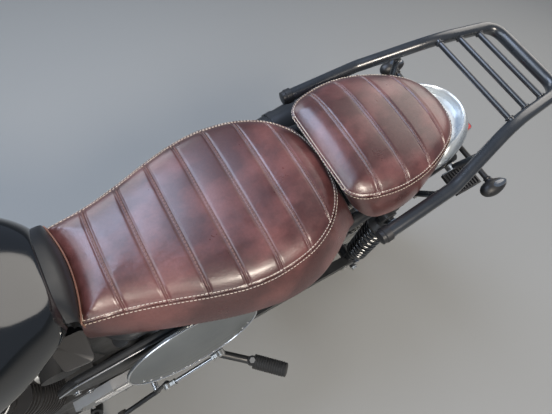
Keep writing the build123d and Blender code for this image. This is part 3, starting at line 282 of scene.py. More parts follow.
def value_of(tree, socket, value):
    """Set a socket to a number or colour, or link it to another node's output."""
    if isinstance(value, bpy.types.NodeSocket):
        tree.links.new(value, socket)
    elif isinstance(value, (int, float)):
        socket.default_value = value
    else:
        socket.default_value = (*value, 1.0)[:len(socket.default_value)]


def new_surface(name):
    """A new material with its node tree and its shader's inputs."""
    surface = bpy.data.materials.new(name)
    surface.use_nodes = True
    return surface, surface.node_tree, surface.node_tree.nodes["Principled BSDF"].inputs


def pattern_of(tree, kind, scale, stretch):
    """A texture in the piece's own place, in cells per metre, squeezed along some axes."""
    place = tree.nodes.new("ShaderNodeTexCoord")
    mapping = tree.nodes.new("ShaderNodeMapping")
    mapping.inputs["Scale"].default_value = stretch
    pattern = tree.nodes.new(kind)
    pattern.inputs["Scale"].default_value = scale
    tree.links.new(place.outputs["Object"], mapping.inputs["Vector"])
    tree.links.new(mapping.outputs["Vector"], pattern.inputs["Vector"])
    return pattern


def noise(tree, scale, detail=3.0, stretch=(1, 1, 1), rough=0.55):
    """Smooth noise."""
    pattern = pattern_of(tree, "ShaderNodeTexNoise", scale, stretch)
    pattern.inputs["Detail"].default_value = detail
    pattern.inputs["Roughness"].default_value = rough
    return pattern.outputs["Fac"]


def cells(tree, scale):
    """Distance to the borders between cells, as in leather's grain."""
    pattern = pattern_of(tree, "ShaderNodeTexVoronoi", scale, (1, 1, 1))
    pattern.feature = "DISTANCE_TO_EDGE"
    return pattern.outputs["Distance"]


def spread(tree, source, low, high, start=0.3, end=0.7):
    """A pattern's values from start to end become low to high."""
    span = tree.nodes.new("ShaderNodeMapRange")
    for name, value in (("From Min", start), ("From Max", end), ("To Min", low), ("To Max", high)):
        span.inputs[name].default_value = value
    tree.links.new(source, span.inputs["Value"])
    return span.outputs["Result"]


def tinted(tree, share, first, second):
    """A colour between two, by a share from 0 to 1."""
    mix = tree.nodes.new("ShaderNodeMix")
    mix.data_type = "RGBA"
    for socket, value in ((0, share), (6, first), (7, second)):
        value_of(tree, mix.inputs[socket], value)
    return mix.outputs[2]


def raised(tree, height, depth, under=None):
    """A normal bumped by a height pattern, with its depth in metres."""
    bump = tree.nodes.new("ShaderNodeBump")
    bump.inputs["Distance"].default_value = depth
    tree.links.new(height, bump.inputs["Height"])
    if under is not None:
        tree.links.new(under, bump.inputs["Normal"])
    return bump.outputs["Normal"]


def finish(name, colour, roughness, second=None, metallic=0.0, grain=900.0, depth=0.0001, rough_span=0.08,
           blotch=9.0, stretch=(1, 1, 1), **others):
    """A surface whose colour drifts between two tones, with a fine grain in its gloss and relief."""
    surface, tree, sockets = new_surface(name)
    second = second or tuple(0.72 * part for part in colour)
    drift = spread(tree, noise(tree, blotch, 4.0), 0.0, 1.0)
    value_of(tree, sockets["Base Color"], tinted(tree, drift, colour, second))
    fine = noise(tree, grain, 2.0, stretch)
    smears = noise(tree, blotch * 3, 5.0, stretch)
    gloss = spread(tree, smears, roughness - rough_span, roughness + rough_span)
    value_of(tree, sockets["Roughness"], gloss)
    value_of(tree, sockets["Normal"], raised(tree, fine, depth))
    sockets["Metallic"].default_value = metallic
    for socket, value in others.items():
        value_of(tree, sockets[socket.replace("_", " ")], value)
    return surface


def leather():
    """Red-brown leather: pebbled grain, creases, lighter patches at random places that are a painted
    reflection, and a gloss that drifts on its own.
    """
    surface, tree, sockets = new_surface("seat leather")
    # Painted reflection: lighter red-brown patches at random places stand for sky reflected on the leather,
    # mixed over the darker base tone
    sky_reflection_share = spread(tree, noise(tree, 11.0, 3.0, (1.0, 1.4, 1.0)), 0.0, 1.0, 0.42, 0.66)
    fleck = spread(tree, noise(tree, 240.0, 4.0), 0.0, 1.0, 0.35, 0.75)
    deep = tinted(tree, fleck, (0.040, 0.0125, 0.0115), (0.058, 0.019, 0.017))
    reflection_tone = tinted(tree, fleck, (0.108, 0.038, 0.034), (0.135, 0.052, 0.047))
    value_of(tree, sockets["Base Color"], tinted(tree, sky_reflection_share, deep, reflection_tone))
    value_of(tree, sockets["Roughness"], spread(tree, noise(tree, 26.0, 4.0), 0.27, 0.40))
    pebbles = spread(tree, cells(tree, 620.0), 0.0, 1.0, 0.0, 0.22)
    creases = raised(tree, noise(tree, 60.0, 6.0, (1.0, 2.2, 1.0), 0.62), 0.00035)
    value_of(tree, sockets["Normal"], raised(tree, pebbles, 0.00006, creases))
    for socket, value in (("Specular IOR Level", 0.6), ("Coat Weight", 0.35), ("Coat Roughness", 0.22),
                          ("Sheen Weight", 0.04), ("Sheen Roughness", 0.4)):
        sockets[socket].default_value = value
    return surface


LEATHER = leather()
THREAD = finish("cream thread", (0.62, 0.55, 0.46), 0.6, (0.48, 0.41, 0.33), grain=2500.0, depth=0.0002)
BROWN_THREAD = finish("brown thread", (0.20, 0.11, 0.095), 0.55, grain=2500.0, depth=0.0002)
GLOSS_BLACK = finish("gloss black paint", (0.007, 0.008, 0.009), 0.11, (0.005, 0.006, 0.007), grain=40.0,
                     depth=0.00001, rough_span=0.02, Coat_Weight=1.0, Coat_Roughness=0.07)
SATIN_BLACK = finish("satin black paint", (0.017, 0.018, 0.020), 0.36, (0.012, 0.013, 0.014), depth=0.00003)
TUBE_BLACK = finish("powder-coated tube", (0.020, 0.023, 0.027), 0.30, (0.015, 0.017, 0.020), grain=1500.0,
                    depth=0.00004, Coat_Weight=0.5, Coat_Roughness=0.2)
DARK_GREY = finish("dark grey plastic", (0.055, 0.056, 0.058), 0.5, (0.045, 0.046, 0.048), depth=0.00005)
BLACK_PLASTIC = finish("black plastic", (0.014, 0.014, 0.015), 0.45, depth=0.00006)
SILVER_PAINT = finish("silver paint", (0.56, 0.60, 0.62), 0.26, (0.50, 0.54, 0.56), 0.45, 3000.0,
                      0.00002, 0.04, Coat_Weight=0.7, Coat_Roughness=0.08)
BRUSHED = finish("brushed aluminium", (0.50, 0.53, 0.53), 0.36, (0.44, 0.46, 0.46), 0.85, 1400.0, 0.00004,
                 stretch=(0.06, 1.0, 1.0))
CAST = finish("cast alloy", (0.40, 0.41, 0.42), 0.48, (0.31, 0.32, 0.33), 0.8, 1100.0, 0.00025)
POLISHED = finish("polished alloy", (0.72, 0.73, 0.74), 0.17, (0.64, 0.65, 0.66), 0.95, depth=0.00002,
                  rough_span=0.05)
CHROME = finish("chrome", (0.80, 0.81, 0.82), 0.07, (0.74, 0.75, 0.76), 1.0, depth=0.00001, rough_span=0.02)
STEEL = finish("zinc-plated steel", (0.52, 0.52, 0.50), 0.30, (0.42, 0.42, 0.41), 0.9)
DISC_STEEL = finish("ground disc steel", (0.55, 0.55, 0.54), 0.24, (0.47, 0.47, 0.46), 0.95, 1600.0, 0.00004)
STAINLESS = finish("heat-tinted stainless pipe", (0.55, 0.50, 0.43), 0.22, (0.36, 0.28, 0.22), 0.95,
                   depth=0.00003, blotch=5.0)
FIN_BLACK = finish("black fin paint", (0.022, 0.022, 0.023), 0.42, (0.016, 0.016, 0.017), depth=0.00012)
TYRE_RUBBER = finish("tyre rubber", (0.022, 0.022, 0.023), 0.72, (0.032, 0.031, 0.030), 0.0, 700.0,
                     0.0002, 0.1)
GRIP_RUBBER = finish("moulded rubber", (0.018, 0.018, 0.018), 0.62, (0.026, 0.026, 0.026), depth=0.00012)
# The piping along the seat's front edge is real; its tan colour is a painted highlight
PIPING_PAINTED_HIGHLIGHT = finish("painted highlight piping", (0.21, 0.105, 0.070), 0.4, (0.15, 0.070, 0.048))
BOARD_ALLOY = finish("spun board alloy", (0.235, 0.25, 0.255), 0.33, (0.185, 0.20, 0.205), 0.8, 1400.0,
                     0.00005, stretch=(0.06, 1.0, 1.0))
DARK_CAST = finish("black engine casting", (0.030, 0.031, 0.033), 0.46, (0.022, 0.023, 0.024), 0.0, 1100.0,
                   0.00025)
SMOKE_LENS = finish("smoked lens", (0.10, 0.12, 0.15), 0.12, (0.07, 0.085, 0.11), depth=0.00002,
                    rough_span=0.03, Transmission_Weight=0.35, Coat_Weight=0.6)
AMBER_LENS = finish("amber lens", (0.80, 0.26, 0.02), 0.16, (0.62, 0.18, 0.015), Transmission_Weight=0.3)
RED_LENS = finish("red lens", (0.55, 0.012, 0.012), 0.14, (0.40, 0.008, 0.008), Transmission_Weight=0.3)
CLEAR_GLASS = finish("clear glass", (0.92, 0.95, 0.96), 0.03, (0.90, 0.93, 0.95), depth=0.00001,
                     rough_span=0.01, Transmission_Weight=0.92, IOR=1.46)
MIRROR_GLASS = finish("mirror glass", (0.85, 0.87, 0.88), 0.02, (0.83, 0.85, 0.86), 1.0, depth=0.000001,
                      rough_span=0.005)
DIAL_FACE = finish("dial face", (0.02, 0.022, 0.025), 0.4, depth=0.00001)
DIAL_MARKS = finish("dial marks", (0.85, 0.85, 0.82), 0.5, depth=0.00001)

# Which CAD nodes each finish is on where they stay
for surface, wearers in (
        (SATIN_BLACK, "frame swingarm fork_yokes front_mudguard rear_mudguard side_stand handlebar silencers "
                      "hand_controls mirrors clock front_wheel rear_wheel shock_absorbers"),
        (BLACK_PLASTIC, "air_box tail_bracket front_indicators rear_indicators"),
        (BRUSHED, "skid_plate heat_shield"),
        (DARK_CAST, "crankcase throttle_bodies"),
        (FIN_BLACK, "cylinder_head cylinder_barrels"),
        (CAST, "sprocket_cover rear_brake_caliper front_brake_caliper fork_legs"),
        (STEEL, "brake_pedal front_sprocket rear_sprocket drive_chain gear_lever"),
        (STAINLESS, "exhaust_pipes"),
        (GLOSS_BLACK, "headlamp side_covers fuel_tank"),
        (CLEAR_GLASS, "headlamp_glass"),
        (GRIP_RUBBER, "fork_gaiters handlebar_grips foot_pegs"),
        (RED_LENS, "tail_lamp"),
        (POLISHED, "left_engine_cover right_engine_cover"),
        (DISC_STEEL, "front_brake_disc rear_brake_disc"),
        (TYRE_RUBBER, "front_tyre rear_tyre"),
        (SILVER_PAINT, "tail_cowl"),
        (TUBE_BLACK, "rear_rack"),
        (BOARD_ALLOY, "number_board")):
    for wearer in wearers.split():
        for place in nodes[wearer].material_slots:
            place.material = surface


# Seats

# The rider's seat from front to rear. Columns: seam's x, half width there, seam's height,
# bottom edge's x and half width there
RIDER_EDGE = np.array([
    (-128, 77, 824, -118, 84), (-185, 88, 818, -184, 112), (-240, 104.5, 815, -246, 136),
    (-299, 125, 815, -309, 158), (-354, 140, 815, -362, 172), (-407, 144.5, 816, -418, 180),
    (-471, 136, 818, -478, 173), (-520, 113, 820, -530, 151), (-552, 80, 821, -572, 125),
    (-567, 46, 822, -593, 106), (-573, 0, 822, -598, 0)], float)
RIDER_RIBS = np.array([-182, -238.5, -295, -351, -407.5, -464, -520], float)
# The pillion seat, the same columns
PILLION_EDGE = np.array([
    (-557, 82, 850, -588, 96), (-561, 92, 850, -592, 110), (-572, 103, 850.5, -603, 127),
    (-594, 113, 851, -622, 136), (-643, 122, 851, -662, 140), (-690, 121, 850.5, -705, 135),
    (-735, 112, 849, -748, 121), (-775, 98, 847, -785, 105), (-808, 81, 845, -814, 87),
    (-831, 61, 843, -836, 66), (-845, 36, 842, -849, 40), (-851, 0, 842, -855, 0)], float)
PILLION_RIBS = np.array([-608, -666.5, -725, -783.5], float)

BAND_HALF = 2.8
TOP_COLUMNS = 45
SKIRT_ROWS = 9
PANEL_STEP = 7.0
SEAM_ROLL = 15.0
ROLL_REACH = 13.0
STITCH = 4.4
STITCH_GAP = 1.5
THREAD_RADIUS = 0.55
CLOTH_FRAMES = 20
CLOTH_LIMIT = 5.0
CLOTH = dict(
    quality=6, mass=0.25, tension_stiffness=12, compression_stiffness=12, shear_stiffness=6,
    bending_stiffness=0.4, use_pressure=True, uniform_pressure_force=4.0, vertex_group_mass="held")


def seat_rows(edge, ribs):
    """Row positions along a seat: each rib's two stitch lines and middle, and even rows between them."""
    length = len(edge) - 1
    fine = np.linspace(0, length, 2000)
    seam_x = eased(fine, np.arange(length + 1), edge[:, 0])
    stops = np.sort(np.r_[ribs - BAND_HALF, ribs, ribs + BAND_HALF])[::-1]
    marks = np.r_[0, np.interp(-stops, -seam_x, fine), length]
    rows = [marks[:1]]
    for start, end in zip(marks[:-1], marks[1:]):
        run = abs(np.interp(end, fine, seam_x) - np.interp(start, fine, seam_x))
        count = max(int(round(run / PANEL_STEP)), 8 if end == length else 1)
        rows.append(start + (end - start) * (np.arange(1, count + 1) / count))
    return np.concatenate(rows)


def seat_grids(edge, ribs, base, crown, hollow):
    """The seat's faces as grids at rest: top, left and right skirts, bottom and front; and its seam.

    Each row joins the two seams straight across. The top rises from the seam as
    1 - exp(-distance / reach), plus a low crown, and the front edge bows back by hollow.
    """
    rows = seat_rows(edge, ribs)
    seam_x, seam_y, seam_z, base_x, base_y = eased(rows, np.arange(len(edge)), edge).T
    seam_y, base_y = np.maximum(seam_y, 0), np.maximum(base_y, 0)
    across = np.linspace(1, -1, TOP_COLUMNS)
    across = np.sin(across * math.pi / 2) * 0.35 + across * 0.65
    down = np.linspace(0, 1, SKIRT_ROWS)[:, None]
    bow = hollow * (1 - across ** 2) * np.clip(1 - (rows / rows[len(rows) // 12])[:, None], 0, 1)
    top = np.stack(np.broadcast_arrays(seam_x[:, None] - bow, seam_y[:, None] * across, seam_z[:, None]), -1)
    rim = np.concatenate([top[:, 0], top[::-1, -1], top[:1].reshape(-1, 3)])
    rim = spaced(rim[np.r_[0:len(rim), 0]], 4.0)
    away = np.min(np.linalg.norm(top[:, :, None, :2] - rim[None, None, :, :2], axis=-1), axis=-1)
    top[..., 2] += SEAM_ROLL * (1 - np.exp(-(away / ROLL_REACH) ** 1.25)) + crown * (
        1 - across ** 2) * np.clip(away / 60, 0, 1)
    skirts = []
    for _, side in HANDS:
        seam = np.stack([seam_x, side * seam_y, seam_z], -1)[:, None]
        foot = np.stack([base_x, side * base_y, np.full_like(base_x, base)], -1)[:, None]
        swell = 4.0 * np.sin(down * math.pi) ** 0.8
        out = unit((foot - seam) * (1, 1, 0) + (0, side * 1e-3, 0))
        skirts.append(seam + (foot - seam) * down + out * swell)
    bottom = np.stack(np.broadcast_arrays(base_x[:, None], base_y[:, None] * across, base), -1)
    front = top[0] * (1 - down[..., None]) + bottom[0] * down[..., None]
    front[:, 0] = skirts[0][0]
    front[:, -1] = skirts[1][0]
    return {"top": top, "left": skirts[0], "right": skirts[1], "bottom": bottom, "front": front}, rim


def finer(grid):
    """The grid with a point added between each two neighbours, both ways, on the cubic through four."""
    for axis in (0, 1):
        grid = np.moveaxis(grid, axis, 0)
        padded = np.concatenate([2 * grid[:1] - grid[1:2], grid, 2 * grid[-1:] - grid[-2:-1]])
        whole = np.empty((2 * len(grid) - 1,) + grid.shape[1:])
        whole[::2] = grid
        whole[1::2] = (9 * (padded[1:-2] + padded[2:-1]) - padded[:-3] - padded[3:]) / 16
        grid = np.moveaxis(whole, 0, axis)
    return grid


def held_points(grids, ribs):
    """Which points the cloth keeps in place: ribs, seams, the bottom and the front."""
    top_x = grids["top"][..., 0].mean(1)
    held = {name: np.full(grid.shape[:2], name in ("bottom", "front")) for name, grid in grids.items()}
    held["top"][np.min(np.abs(top_x[:, None] - ribs), axis=1) < BAND_HALF + 0.6] = True
    held["top"][:, [1, -2]] = True
    for name in ("top", "left", "right"):
        held[name][:, [0, -1]] = True
        held[name][[0, -1]] = True
    return held


def inflated(grids, held, cap):
    """The grids after Blender's cloth, pumped up between their held points and capped in their travel."""
    scene = bpy.context.scene
    points, faces, back = welded(*joined([sheet(grid, False, False) for grid in grids.values()]))
    kept = [list(dict.fromkeys(row)) for row in faces.tolist() if len(set(row)) > 2]
    cover = placed("cloth", mesh_of("cloth", points / 1000, kept, merged=False))
    fixed = np.zeros(len(points), bool)
    fixed[back[np.concatenate([held[name].reshape(-1) for name in grids])]] = True
    cover.vertex_groups.new(name="held").add(np.flatnonzero(fixed).tolist(), 1.0, "REPLACE")
    cloth = cover.modifiers.new("cloth", "CLOTH")
    for name, value in CLOTH.items():
        setattr(cloth.settings, name, value)
    cloth.settings.effector_weights.gravity = 0
    cloth.point_cache.frame_start = 1
    cloth.point_cache.frame_end = CLOTH_FRAMES
    for step in range(1, CLOTH_FRAMES + 1):
        scene.frame_set(step)
    moved = np.empty(len(points) * 3, np.float32)
    cover.evaluated_get(bpy.context.evaluated_depsgraph_get()).data.vertices.foreach_get("co", moved)
    scene.frame_set(1)
    bpy.data.objects.remove(cover)
    push = moved.reshape(-1, 3).astype(float) * 1000 - points
    length = np.linalg.norm(push, axis=1, keepdims=True)
    push *= np.minimum(1, cap / np.maximum(length, 1e-9)) * np.tanh(length / cap + 1e-9) / np.maximum(
        np.minimum(length / cap, 1), 1e-9)
    moved = (points + push)[back]
    stops = np.cumsum([grid.shape[0] * grid.shape[1] for grid in grids.values()])
    return {name: part.reshape(grids[name].shape) for name, part in zip(grids, np.split(moved, stops[:-1]))}


def surface_normals(points, faces):
    """The mean normal at each point, from the cross products of its faces' diagonals."""
    square = np.cross(points[faces[:, 2]] - points[faces[:, 0]], points[faces[:, 3]] - points[faces[:, 1]])
    total = np.zeros_like(points)
    for corner in range(4):
        np.add.at(total, faces[:, corner], square)
    return unit(total)


def groove(distance, depth, width):
    """A rounded groove's depth at a distance from its middle."""
    return depth * np.exp(-(distance / width) ** 2)


def stitched(line, tree, inside):
    """Stitches along a line, laid on the nearest place of a surface and turned with it.

    A stitch is a thin thread along X whose ends dive. Its row faces away from a point inside the seat.
    """
    share = np.linspace(-1, 1, 7)
    path = np.stack([share * STITCH / 2, 0 * share, 0.35 - 0.75 * share ** 4], 1)
    stitch = swept(path, THREAD_RADIUS * (1 - 0.5 * share ** 6), 6, LEFT)
    line = spaced(line, STITCH + STITCH_GAP)
    found = [tree.find_nearest(Vector(centre)) for centre in (line[:-1] + line[1:]) / 2]
    place, lift = (np.array([spot[item] for spot in found]) for item in (0, 1))
    lift *= np.sign((lift * (place - inside)).sum(1))[:, None]
    side = unit(np.cross(lift, unit(np.diff(line, axis=0))))
    return copies(stitch, place, np.stack([np.cross(side, lift), side, lift], -1))


def add_stitches(name, points, faces, rim, ribs, edge):
    """Two cream rows beside the seam, and brown twin rows down the ribs."""
    tree = BVHTree.FromPolygons(points.tolist(), faces.tolist())
    inside = points.mean(0) - (0, 0, 60)
    side = unit(np.cross(np.gradient(rim[:-1], axis=0), UP))
    if np.sum(side * (rim[:-1] - rim.mean(0))) < 0:
        side = -side
    rows = []
    for out, lift in ((-3.2, 2.0), (1.6, -3.4)):
        loop = rim[:-1] + side * out + (0, 0, lift)
        rows.append(stitched(np.concatenate([loop, loop[:1]]), tree, inside))
    put(name + "_seam_stitches", joined(rows), THREAD)
    rows = []
    for rib in ribs:
        half = np.interp(-rib, -edge[:, 0], edge[:, 1]) - 5
        for offset in (-BAND_HALF + 0.6, BAND_HALF - 0.6):
            line = np.linspace(-half, half, 60)[:, None] * LEFT + (rib + offset, 0, edge[:, 2].mean() + 20)
            rows.append(stitched(line, tree, inside))
    put(name + "_rib_stitches", joined(rows), BROWN_THREAD)


def seat(name, edge, ribs, base, crown, hollow, node):
    """One sewn seat: pumped cover, twin-needle ribs, a corded seam and its stitches."""
    rest, rim = seat_grids(edge, ribs, base, crown, hollow)
    grids = inflated(rest, held_points(rest, ribs), CLOTH_LIMIT)
    parts, rests = [], []
    for key, grid in grids.items():
        still = rest[key]
        for _ in range(2 if key != "bottom" else 0):
            grid, still = finer(grid), finer(still)
        parts.append(sheet(grid, False, False))
        still = still.reshape(-1, 3)
        rests.append(np.c_[still, np.full(len(still), key == "top")])
    points, faces = joined(parts)
    rests = np.concatenate(rests)
    flat_points, flat_faces, back = welded(points, faces)
    normal = surface_normals(flat_points, flat_faces)[back]
    if np.sum((points - flat_points.mean(0)) * normal) < 0:
        normal = -normal
    on_top = rests[:, 3] > 0.5
    seam_gap = np.empty(len(points))
    for start in range(0, len(points), 4000):
        block = rests[start:start + 4000, None, :3] - rim
        seam_gap[start:start + 4000] = np.sqrt(np.min((block ** 2).sum(-1), axis=1))
    rib_gap = np.min(np.abs(rests[:, :1] - ribs), axis=1)
    lines = groove(rib_gap - BAND_HALF, 1.6, 1.3) * np.clip(seam_gap / 9, 0, 1)
    proud = np.where(on_top, groove(rib_gap, 0.7, 1.7), 0) - np.where(on_top, lines, 0)
    edge_groove = groove(seam_gap, 1.1, 1.3) + groove(seam_gap - 5.5, 0.5, 1.1) * 0.8
    points = points + normal * (proud - edge_groove)[:, None]
    piece = put(name, (points, faces), LEATHER, hides=node, sharp=math.radians(80))
    add_stitches(name, points, faces, rim, ribs, edge)


seat("rider_cover", RIDER_EDGE, RIDER_RIBS, 758.0, 7.0, 12.0, "rider_seat")
seat("pillion_cover", PILLION_EDGE, PILLION_RIBS, 789.5, 9.0, 0.0, "pillion_seat")


# Tank

# Stations from the seat forwards. Columns: x, lowest z, half width there, widest half width, its z, top z
TANK_STATIONS = np.array([
    (-118, 812, 60, 80, 836, 878), (-60, 796, 84, 122, 850, 932), (60, 772, 100, 148, 854, 962),
    (190, 764, 104, 152, 858, 970), (290, 780, 90, 128, 862, 948), (345, 806, 50, 80, 862, 906)], float)
TANK_ROUND = 20.0
TUNNEL_HALF = 37.5
FILLER_X = 130.0


def tank_skin(x, angle):
    """The tank's skin: a superellipse over a tapered belly, with both ends rounded in.

    angle runs from the left side over the top. Within TANK_ROUND of an end the section
    shrinks towards its middle by a quarter circle's share.
    """
    low, low_half, half, wide, top = eased(x, TANK_STATIONS[:, 0], TANK_STATIONS[:, 1:]).T[:, :, None]
    cos, sin = np.cos(angle)[None], np.sin(angle)[None]
    y = half * np.sign(cos) * np.abs(cos) ** 0.75
    z = wide + np.where(sin > 0, (top - wide) * np.abs(sin) ** 0.85, -(wide - low) * np.abs(sin) ** 0.8)
    sunk = np.clip((wide - z) / (wide - low), 0, 1)
    y = y * (1 - (1 - low_half / half) * sunk)
    near = 1 - np.minimum(x - TANK_STATIONS[0, 0], TANK_STATIONS[-1, 0] - x) / TANK_ROUND
    near = np.clip(near, 0, 1)[:, None]
    keep = 1 - 0.16 * (1 - np.sqrt(1 - near ** 2))
    middle = (wide + top) / 2
    return np.stack([np.broadcast_to(x[:, None], y.shape), y * keep, middle + (z - middle) * keep], -1)


def tank():
    """The glossy tank with the tunnel over the spine, its seam strip and its filler cap."""
    start, end = TANK_STATIONS[0, 0], TANK_STATIONS[-1, 0]
    round_in = TANK_ROUND * (1 - np.cos(np.linspace(0, math.pi / 2, 12)))
    straight = np.linspace(start + TANK_ROUND, end - TANK_ROUND, 66)[1:-1]
    x = np.r_[start + round_in, straight, (end - round_in)[::-1]]
    angle = full_turn(192)
    skin = tank_skin(x, angle)
    roof = np.interp(x, [-118, 60, 400], [812, 832, 870])[:, None]
    under = (np.abs(skin[..., 1]) < TUNNEL_HALF) & (np.sin(angle) < 0)
    skin[..., 2] = np.where(under, np.maximum(skin[..., 2], roof), skin[..., 2])
    shares = np.linspace(1, 0, 9)[:, None, None]
    caps = [sheet(row.mean(0) + (row - row.mean(0)) * shares) for row in (skin[0], skin[-1])]
    piece = put("tank", joined([sheet(skin), *caps]), GLOSS_BLACK, hides="fuel_tank", sharp=math.radians(50))

    # The pinched seam low on each side
    line = tank_skin(np.linspace(start + 16, end - 26, 90), np.array([2 * math.pi - 0.62]))[:, 0]
    put("tank_seam", mirrored(swept(line + (0, 2.0, 0), 3.6, 10, UP, 0.45)), POLISHED)

    top = tank_skin(np.array([FILLER_X]), np.array([math.pi / 2]))[0, 0]
    put("filler_ring", turned([(-6, 41), (3, 41), (6, 38.5), (6, 33), (4, 32)], top, UP, 72), CHROME)
    lid = [(3, 32), (9, 32), (13, 29), (15, 22), (16, 10), (16, 0)]
    put("filler_cap", turned(lid, top, UP, 72), POLISHED)
    put("filler_hinge", slab((7, 11, 4), 1.5, top + (-33, 0, 11)), STEEL)
    spots = [top + (36 * math.cos(turn), 36 * math.sin(turn), 6) for turn in full_turn(6)]
    screw = turned([(0, 2.6), (2, 2.6), (2.6, 1.8), (2.6, 0)], (0, 0, 0), UP, 12)
    put("filler_bolts", copies(screw, spots), STEEL)


def seat_collar():
    """The satin strip that closes the gap from the tank to the rider's seat, and the seat's piping, its tan
    colour a painted highlight.
    """
    share = np.linspace(-1, 1, 81)
    lower = np.stack([-127.5 - 13 * (1 - share ** 2), 78 * share, 829 + 6 * (1 - share ** 2)], 1)
    upper = np.stack([-117 - 2 * (1 - share ** 2), 74 * share, 846 + 27 * (1 - share ** 4)], 1)
    depth = np.linspace(0, 1, 15)[:, None, None]
    strip = lower * (1 - depth) + upper * depth + np.array([-1.0, 0, 0.7]) * 5 * np.sin(depth * math.pi)
    shell = np.concatenate([strip, strip[::-1] + (10, 0, -6), strip[:1]])
    put("seat_collar", sheet(shell, False, False), SATIN_BLACK)
    line = lower + (-1.5, 0, 1.5)
    tail = np.array([(0, 1.0, -8), (2, 2.0, -24), (5, 4.0, -46)])
    path = np.concatenate([(line[0] + tail * (1, -1, 1))[::-1], line, line[-1] + tail])
    put("seat_piping", swept(path, 1.2, 8, AHEAD), PIPING_PAINTED_HIGHLIGHT)


# Rear rack

# The rack tube's corners on the left: x, y, z
RACK_CORNERS = np.array([
    (-616, 168.6, 785), (-770, 160, 812), (-930, 117, 866), (-1092, 100, 863), (-1092, 0, 863)], float)
RACK_TUBE = 25.0
RACK_BARS_X = (-930, -985, -1040)
RACK_LEGS_X = (-745, -858)
RAIL_RUN = np.array([(-600, 112, 742), (-880, 90, 748)], float)


def on_run(points, x):
    """The place on a chain of straight runs at a distance along the motorcycle."""
    order = np.argsort(points[:, 0])
    return np.array([x] + [np.interp(x, points[order, 0], points[order, axis]) for axis in (1, 2)])


def weld_bead(centre, axis, radius, bead=2.2):
    """A rippled bead round a tube's end."""
    angle = full_turn(48)
    axis = unit(axis)
    side = unit(np.cross(axis, (0.3, 0.2, 1.0)))
    ring = np.cos(angle)[:, None] * side + np.sin(angle)[:, None] * np.cross(axis, side)
    return swept(np.asarray(centre) + radius * ring, bead + 0.35 * np.cos(angle * 16), 8, axis, closed=True)


def rack():
    """The luggage rack: one smooth bent tube, three bars, stepped end caps, legs and the ribbed shelf."""
    corners = np.concatenate([RACK_CORNERS, RACK_CORNERS[-2::-1] * (1, -1, 1)])
    tube = swept(spaced(bent(corners, (70, 260, 42, 1, 42, 260, 70), 15), 6.0), RACK_TUBE / 2, 28)
    bars, beads, caps, legs, feet = [], [], [], [], []
    for x in RACK_BARS_X:
        _, y, z = on_run(RACK_CORNERS[:4], x)
        bars.append(swept(np.linspace(-y, y, 24)[:, None] * LEFT + (x, 0, z), 6, 16))
        for _, side in HANDS:
            beads.append(weld_bead((x, side * (y - RACK_TUBE / 2 - 0.5), z), LEFT, 6.5, 1.6))
    for _, side in HANDS:
        mirror = np.array([1, side, 1])
        start = RACK_CORNERS[0] * mirror
        way = unit(RACK_CORNERS[0] - RACK_CORNERS[1]) * mirror
        plug = [(-4, 12.6), (-4, 15), (8, 15), (9.5, 13.4), (16, 13.2), (17, 11), (17, 0)]
        caps.append(turned(plug, start, way, 32))
        for x in RACK_LEGS_X:
            high = on_run(RACK_CORNERS[:3], x)
            low = on_run(RAIL_RUN, x)
            low[1] += 13.3 + 8
            foot = (low - (0, 7.5, 0)) * mirror
            legs.append(swept(np.linspace(high, low, 12) * mirror, 6.5, 18))
            feet.append(turned([(0, 11), (12, 11), (12, 6)], foot, (0, side, 0), 28))
            feet.append(turned([(12, 7), (16.5, 7), (17, 6), (17, 0)], foot, (0, side, 0), 6))
            beads.append(weld_bead((high + (low - high) * 0.16) * mirror, high - low, 7, 1.7))
    piece = put("rack", joined([tube, *bars, *legs]), TUBE_BLACK, hides="rear_rack")
    put("rack_welds", joined(beads), TUBE_BLACK)
    put("rack_caps", joined(caps), BLACK_PLASTIC)
    put("rack_feet", joined(feet), STEEL)
    ribs = copies(slab((1.8, 22, 2.2), 0.8), [(x, 144.5, 759) for x in np.linspace(-881, -826, 8)])
    put("rack_shelf", joined([slab((35, 25.5, 4), 1.5, (-853, 144.5, 754)), ribs]), BLACK_PLASTIC)
    put("shelf_trim", swept([(-890, 119.5, 760), (-853, 118.8, 760.5), (-816, 119.5, 760)], 1.3, 8), POLISHED)


# Number board

BOARD_CENTRE = np.array([-248, 158, 668.0])
BOARD_HALF = (121.0, 78.0)
BOARD_OUT = unit((0, 0.963, 0.27))
BOARD_UP = unit((0, -0.27, 0.963))


def board_point(u, v, lift=0.0):
    """A place on the board from its unit disc: a dome with a creased step across its lower third."""
    u, v = np.asarray(u, float)[..., None], np.asarray(v, float)[..., None]
    reach = np.sqrt(u ** 2 + v ** 2)
    above = v + 0.36 - 0.16 * u ** 2
    crease = 1.7 * np.exp(-(above / 0.05) ** 2) - 3.0 / (1 + np.exp(above / 0.045))
    out = 12.5 * (1 - reach ** 2.6) ** 0.85 + crease * (1 - reach ** 4) + lift
    return BOARD_CENTRE + BOARD_HALF[0] * u * AHEAD + BOARD_HALF[1] * v * BOARD_UP + out * BOARD_OUT


